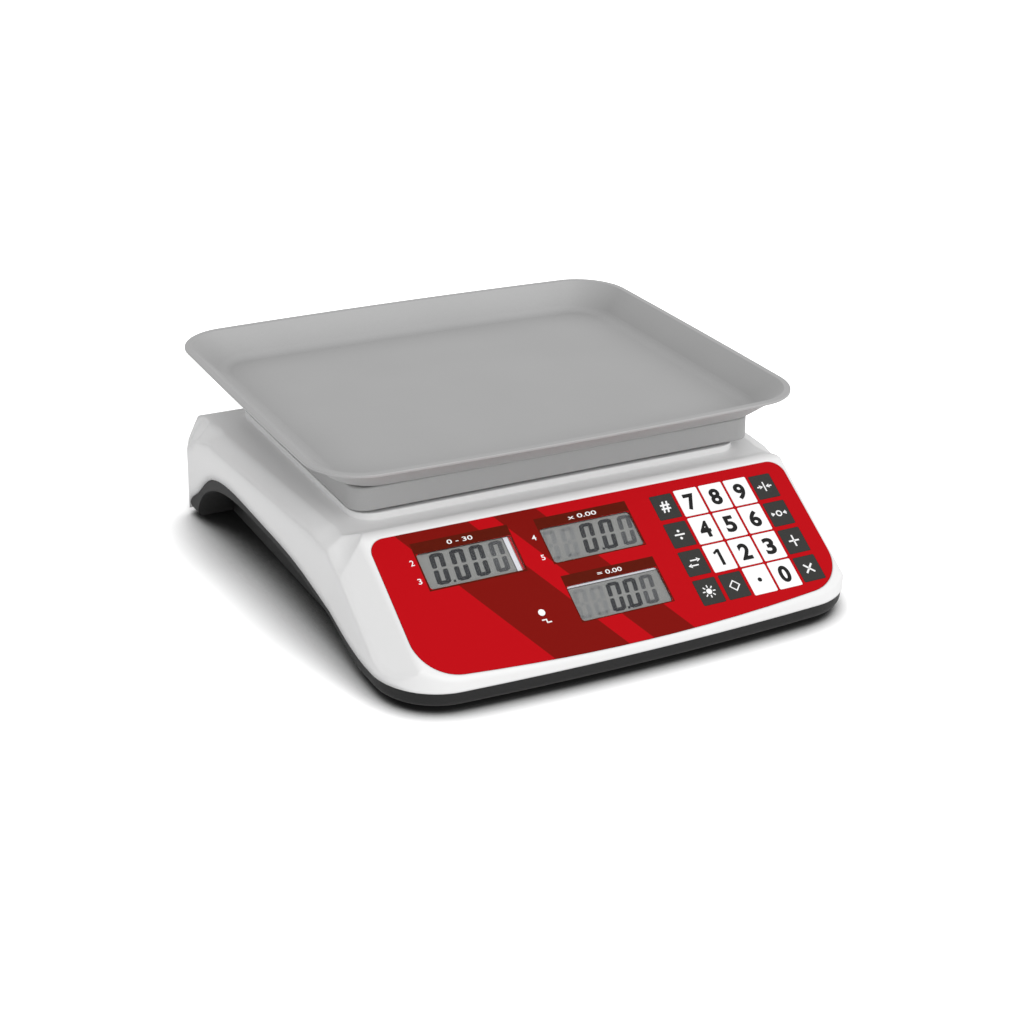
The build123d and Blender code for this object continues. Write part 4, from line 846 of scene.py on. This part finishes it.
def window_border(low_u, low_v, high_u, high_v, hole_low, hole_high):
    """A printed plate with a window in it, drawn as four bars round the opening."""
    left, bottom = hole_low
    right, top = hole_high
    bars = []
    for a, b, c, d in (
        (low_u, top, high_u, high_v), (low_u, low_v, high_u, bottom),
        (low_u, bottom, left, top), (right, bottom, high_u, top),
    ):
        bars.append(flat_bar((c - a) * mm, (d - b) * mm, 0, (a + c) / 2 * mm, (b + d) / 2 * mm))
    return join_pieces(bars)


for display, plate in (
    ("weight", (-118.1, 61.8, -55.2, 94.6, (-117.1, 62.8), (-55.7, 87.2))),
    ("price", (-37.6, 62.1, 25.3, 94.4, (-36.8, 62.8), (24.6, 87.2))),
    ("total", (-37.4, 21.4, 25.3, 53.6, (-36.8, 22.0), (24.6, 46.4))),
):
    settle(
        window_border(*plate), f"{display}_border", on_panel(0, 0), print_maroon, "housing",
    )


def type_figures(words, width, height, weight=0.0):
    """Plain figures of an exact width and height, lying flat, their middle at 0, 0."""
    bpy.ops.object.select_all(action="DESELECT")
    bpy.ops.object.text_add(location=(0, 0, 0))
    figures = bpy.context.object
    figures.data.body = words
    figures.data.size = 10 * mm
    figures.data.offset = weight
    figures.data.resolution_u = 6
    figures.data.extrude = print_layer / 2
    bpy.ops.object.convert(target="MESH")
    figures = bpy.context.object
    bpy.ops.object.mode_set(mode="EDIT")
    bpy.ops.mesh.select_all(action="SELECT")
    bpy.ops.mesh.remove_doubles(threshold=0.005 * mm)
    bpy.ops.mesh.select_all(action="SELECT")
    bpy.ops.mesh.normals_make_consistent(inside=False)
    bpy.ops.object.mode_set(mode="OBJECT")
    xs = [vertex.co.x for vertex in figures.data.vertices]
    ys = [vertex.co.y for vertex in figures.data.vertices]
    figures.data.transform(
        Matrix.Diagonal((width / (max(xs) - min(xs)), height / (max(ys) - min(ys)), 1, 1))
        @ Matrix.Translation((-(max(xs) + min(xs)) / 2, -(max(ys) + min(ys)) / 2, print_layer / 2))
    )
    return figures


for name, words, u, v, width, height in (
    ("weight_heading", "0 - 30", -87.5, 91.0, 16.5, 2.9),
    ("price_heading", "x 0.00", -6.0, 90.8, 19.5, 2.9),
    ("total_heading", "= 0.00", -6.0, 50.0, 16.5, 2.9),
    ("weight_mark_1", "2", -121.4, 82.0, 2.4, 3.8),
    ("weight_mark_2", "3", -121.4, 69.4, 2.4, 3.8),
    ("price_mark_1", "4", -42.4, 82.2, 2.8, 3.6),
    ("price_mark_2", "5", -42.4, 68.1, 2.4, 3.6),
):
    figures = type_figures(words, width * mm, height * mm, 0.1 * mm)
    settle(figures, name, on_panel(u, v, print_layer / mm), print_white, "housing")
wave = join_pieces([
    flat_bar(2.6 * mm, 0.8 * mm, 0.2 * mm, -1.5 * mm, 1.0 * mm),
    flat_bar(2.6 * mm, 0.8 * mm, 0.2 * mm, 1.5 * mm, -1.0 * mm),
    flat_bar(0.8 * mm, 2.8 * mm, 0.2 * mm),
])
settle(wave, "mains_mark", on_panel(-57.9, 27.5), print_white, "housing")

# ---- Keys ----------------------------------------------------------------------------
# Twenty embossed keys of the control film: white ones with black figures, and dark grey
# ones with plain white signs. Each moves a little as it is pressed.
key_white = ink_material("back_printed_white_film", "#F8F8F8", "#FDFDFD", 1.11, 0.42)
key_dark = ink_material("back_printed_dark_grey_film", "#30302E", "#363634", 1.11, 0.42)
for name in frame["nodes"]:
    if name.startswith("key_") and name != "key_domes":
        digit_key = name[4:].isdigit() or name == "key_point"
        finish_node(name, key_white if digit_key else key_dark)


def on_key(name):
    """Carries flat work onto the middle of a key's face."""
    low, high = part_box(name)
    middle = (low + high) / 2 - panel_start
    top = max(panel_out.dot(v.co - panel_start) for v in frame["nodes"][name].data.vertices)
    return on_panel(middle.dot(panel_across) / mm, middle.dot(panel_up) / mm, top / mm)


for digit in "0123456789":
    if digit == "1":
        # the plain typeface has a bare stroke for this figure, so it gets its flag here
        flag = flat_bar(3.6 * mm, 1.6 * mm, 0)
        flag.data.transform(
            Matrix.Translation((-1.3 * mm, 4.0 * mm, 0)) @ Matrix.Rotation(math.radians(33), 4, "Z")
        )
        figures = join_pieces([flat_bar(2.2 * mm, 11.6 * mm, 0, 0.7 * mm, 0), flag])
    else:
        figures = type_figures(digit, 7.7 * mm, 11.8 * mm, 0.4 * mm)
    settle(figures, f"key_{digit}_figure", on_key(f"key_{digit}"), print_black, f"key_{digit}")
point = flat_disc(1.5 * mm)
settle(point, "key_point_figure", on_key("key_point"), print_black, "key_point")


def arrow(tip_x, way, length, y=0.0):
    """A plain arrow that points left or right, its tip at tip_x."""
    head_reach = 1.7
    head = flat_disc(head_reach * mm, sides=3)
    head.data.transform(
        Matrix.Translation(((tip_x - way * head_reach) * mm, y * mm, 0))
        @ Matrix.Rotation(math.pi if way > 0 else 0, 4, "Z")
    )
    shaft_x = tip_x - way * (head_reach + length / 2)
    shaft = flat_bar(length * mm, 0.9 * mm, 0, shaft_x * mm, y * mm)
    return [head, shaft]


signs = {
    "key_count": [type_figures("#", 6.6 * mm, 8.0 * mm, 0.2 * mm)],
    "key_change": [
        flat_bar(7.0 * mm, 1.1 * mm, 0.2 * mm), flat_disc(0.9 * mm, y=2.6 * mm),
        flat_disc(0.9 * mm, y=-2.6 * mm),
    ],
    "key_unit": arrow(5.0, 1, 5.5, 1.8) + arrow(-5.0, -1, 5.5, -1.8),
    "key_light": [flat_disc(1.9 * mm)],
    "key_memory": [flat_disc(4.0 * mm, hole=2.9 * mm, sides=4)],
    "key_tare": arrow(-1.0, 1, 2.6) + arrow(1.0, -1, 2.6) + [flat_bar(0.9 * mm, 7.0 * mm, 0)],
    "key_zero": arrow(-2.7, 1, 1.2) + arrow(2.7, -1, 1.2) + [flat_disc(2.2 * mm, hole=1.3 * mm)],
    "key_plus": [flat_bar(7.4 * mm, 1.1 * mm, 0.1 * mm), flat_bar(1.1 * mm, 8.2 * mm, 0.1 * mm)],
    "key_clear": [flat_bar(8.4 * mm, 1.2 * mm, 0.1 * mm), flat_bar(8.4 * mm, 1.2 * mm, 0.1 * mm)],
}
for count, piece in enumerate(signs["key_clear"]):
    piece.data.transform(Matrix.Rotation(math.radians(45 + 90 * count), 4, "Z"))
for count in range(8):
    ray = flat_bar(0.8 * mm, 1.8 * mm, 0.1 * mm, 0, 3.5 * mm)
    ray.data.transform(Matrix.Rotation(math.radians(45 * count), 4, "Z"))
    signs["key_light"].append(ray)
for name, parts in signs.items():
    settle(join_pieces(parts), f"{name}_sign", on_key(name), print_white, name)

# ---- Rear display --------------------------------------------------------------------
# The buyer's side repeats the three readings, in cells and windows like the front ones,
# let into one red film that is glued to the leaning rear face.
rear_low, rear_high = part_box("rear_overlay")
rear_tilt = math.radians(14.47)
rear_out = Vector((0, math.cos(rear_tilt), math.sin(rear_tilt)))
rear_up = Vector((0, -math.sin(rear_tilt), math.cos(rear_tilt)))
rear_middle = (rear_low + rear_high) / 2 + rear_out * film_t / 2


def on_rear(u, v, lift=0.0, lean=0.0):
    """Carries flat work onto the rear face, from the middle of its film."""
    turn = Matrix((Vector((-1, 0, 0)), rear_up, rear_out)).transposed().to_4x4()
    slant = Matrix.Identity(4)
    slant[0][1] = lean
    return Matrix.Translation(rear_middle) @ turn @ Matrix.Translation((u * mm, v * mm, lift * mm)) @ slant


# millimetres from a window's middle to its row's left end, from digit to digit, and from
# a digit's left end to the point beside it
row_start = 29.0
digit_pitch = 11.4
point_step = 8.6
# half the width and height of a window's printed border, and the width of its line
border_across = 31.7
border_up = 10.6
border_line = 1.0
for display, middle, lit in (("rear_weight", -76.0, 1), ("rear_price", 0.0, 2), ("rear_total", 76.0, 2)):
    row = []
    for count in range(5):
        shown = count > lit
        left = middle - row_start + count * digit_pitch
        row.append((zero if shown else eight, left, "lit" if shown else "ghost"))
    place_digits(
        display, row, width=7.4, height=15.0, side=1.9, level=1.3, lean=0.12, v=-7.5,
        turn=on_rear, material_for=shades,
    )
    point = flat_bar(1.4 * mm, 1.4 * mm, 0.3 * mm)
    settle(
        point, f"{display}_point",
        on_rear(middle - row_start + (lit + 1) * digit_pitch + point_step, -6.9, -glass_depth),
        lcd_dark, "housing",
    )
    border = window_border(
        middle - border_across, -border_up, middle + border_across, border_up,
        (middle - border_across + border_line, -border_up + border_line),
        (middle + border_across - border_line, border_up - border_line),
    )
    settle(border, f"{display}_border", on_rear(0, 0), print_maroon, "housing")

# ---- Platform bracket ----------------------------------------------------------------
# An aluminium casting with four arms, bolted to the free end of the load cell: a duller
# grey with a sand-cast skin, its grain about a millimetre across.
cast_aluminium, tree, place = new_material("cast_aluminium")
sand, tone = mottled(tree, place, 1.0, "#9FA1A3", "#B9BBBC", detail=4.0, roughness=0.65)
shine = add_node(
    tree, "ShaderNodeMapRange", inputs={"To Min": 0.45, "To Max": 0.65},
    links={"Value": sand.outputs["Fac"]},
)
skin = add_node(
    tree, "ShaderNodeBump", inputs={"Strength": 0.35, "Distance": 0.15 * mm},
    links={"Height": sand.outputs["Fac"]},
)
metal = add_node(
    tree, "ShaderNodeBsdfPrincipled", inputs={"Metallic": 1.0},
    links={
        "Base Color": tone.outputs["Color"], "Roughness": shine.outputs["Result"],
        "Normal": skin.outputs["Normal"],
    },
)
add_node(tree, "ShaderNodeOutputMaterial", links={"Surface": metal.outputs["BSDF"]})
finish_node("platform_bracket", cast_aluminium)

# ---- Tray support --------------------------------------------------------------------
# A moulded frame of grey ABS, screwed to the bracket's arms, on which the tray rests:
# an even mid grey, satin, with the same mould grain as the case.
support_abs, tree, place = new_material("moulded_grey_abs")
grain, tone = mottled(tree, place, 0.417, "#9B9B9B", "#A8A8A8", detail=3.0)
edge = add_node(tree, "ShaderNodeBevel", settings={"samples": 4}, inputs={"Radius": 0.8 * mm})
skin = add_node(
    tree, "ShaderNodeBump", inputs={"Strength": 0.15, "Distance": 0.05 * mm},
    links={"Height": grain.outputs["Fac"], "Normal": edge.outputs["Normal"]},
)
shell = add_node(
    tree, "ShaderNodeBsdfPrincipled", inputs={"IOR": 1.53, "Roughness": 0.45},
    links={"Base Color": tone.outputs["Color"], "Normal": skin.outputs["Normal"]},
)
add_node(tree, "ShaderNodeOutputMaterial", links={"Surface": shell.outputs["BSDF"]})
finish_node("tray_support", support_abs)

# ---- Weighing tray -------------------------------------------------------------------
# A pressed pan of bead-blasted stainless steel with a rolled lip, resting loose on its
# support: a soft mid grey, with broad highlights and no sharp reflection. The beads' pits
# are drawn coarser than real ones, so that they show.
blasted_steel, tree, place = new_material("bead_blasted_stainless_steel")
pits = add_node(
    tree, "ShaderNodeTexNoise", inputs={"Scale": grain_scale(0.4), "Detail": 3.0, "Roughness": 0.6},
    links={"Vector": place},
)
_, tone = mottled(tree, place, 55.6, "#C1C1C1", "#C6C6C6")
# painted shade: inside the pan the steel's colour is darkened by ambient occlusion at the
# bends and the foot of the walls; faces that look down are left out
bend_occlusion = add_node(
    tree, "ShaderNodeAmbientOcclusion", settings={"samples": 16}, inputs={"Distance": 40 * mm},
)
painted_shade_fac = add_node(
    tree, "ShaderNodeMapRange", inputs={"From Min": 0.6, "From Max": 0.98},
    links={"Value": bend_occlusion.outputs["AO"]},
)
faces = add_node(tree, "ShaderNodeNewGeometry")
face_way = add_node(tree, "ShaderNodeSeparateXYZ", links={"Vector": faces.outputs["True Normal"]})
under_side = add_node(
    tree, "ShaderNodeMath", settings={"operation": "LESS_THAN"}, inputs={1: 0.0},
    links={0: face_way.outputs["Z"]},
)
painted_shade_mask = add_node(
    tree, "ShaderNodeMath", settings={"operation": "MAXIMUM"},
    links={0: painted_shade_fac.outputs["Result"], 1: under_side.outputs[0]},
)
# the steel's own tone, mixed with the painted shade's darker grey
painted_shade_tone = add_node(
    tree, "ShaderNodeMix", settings={"data_type": "RGBA"},
    links={"Factor": painted_shade_mask.outputs[0], 7: tone.outputs["Color"]},
)
painted_shade_tone.inputs[6].default_value = hex_colour("#949494")
shine = add_node(
    tree, "ShaderNodeMapRange", inputs={"To Min": 0.70, "To Max": 0.80},
    links={"Value": pits.outputs["Fac"]},
)
skin = add_node(
    tree, "ShaderNodeBump", inputs={"Strength": 0.12, "Distance": 0.04 * mm},
    links={"Height": pits.outputs["Fac"]},
)
metal = add_node(
    tree, "ShaderNodeBsdfPrincipled", inputs={"Metallic": 1.0},
    links={
        "Base Color": painted_shade_tone.outputs[2], "Roughness": shine.outputs["Result"],
        "Normal": skin.outputs["Normal"],
    },
)
add_node(tree, "ShaderNodeOutputMaterial", links={"Surface": metal.outputs["BSDF"]})
finish_node("tray", blasted_steel)
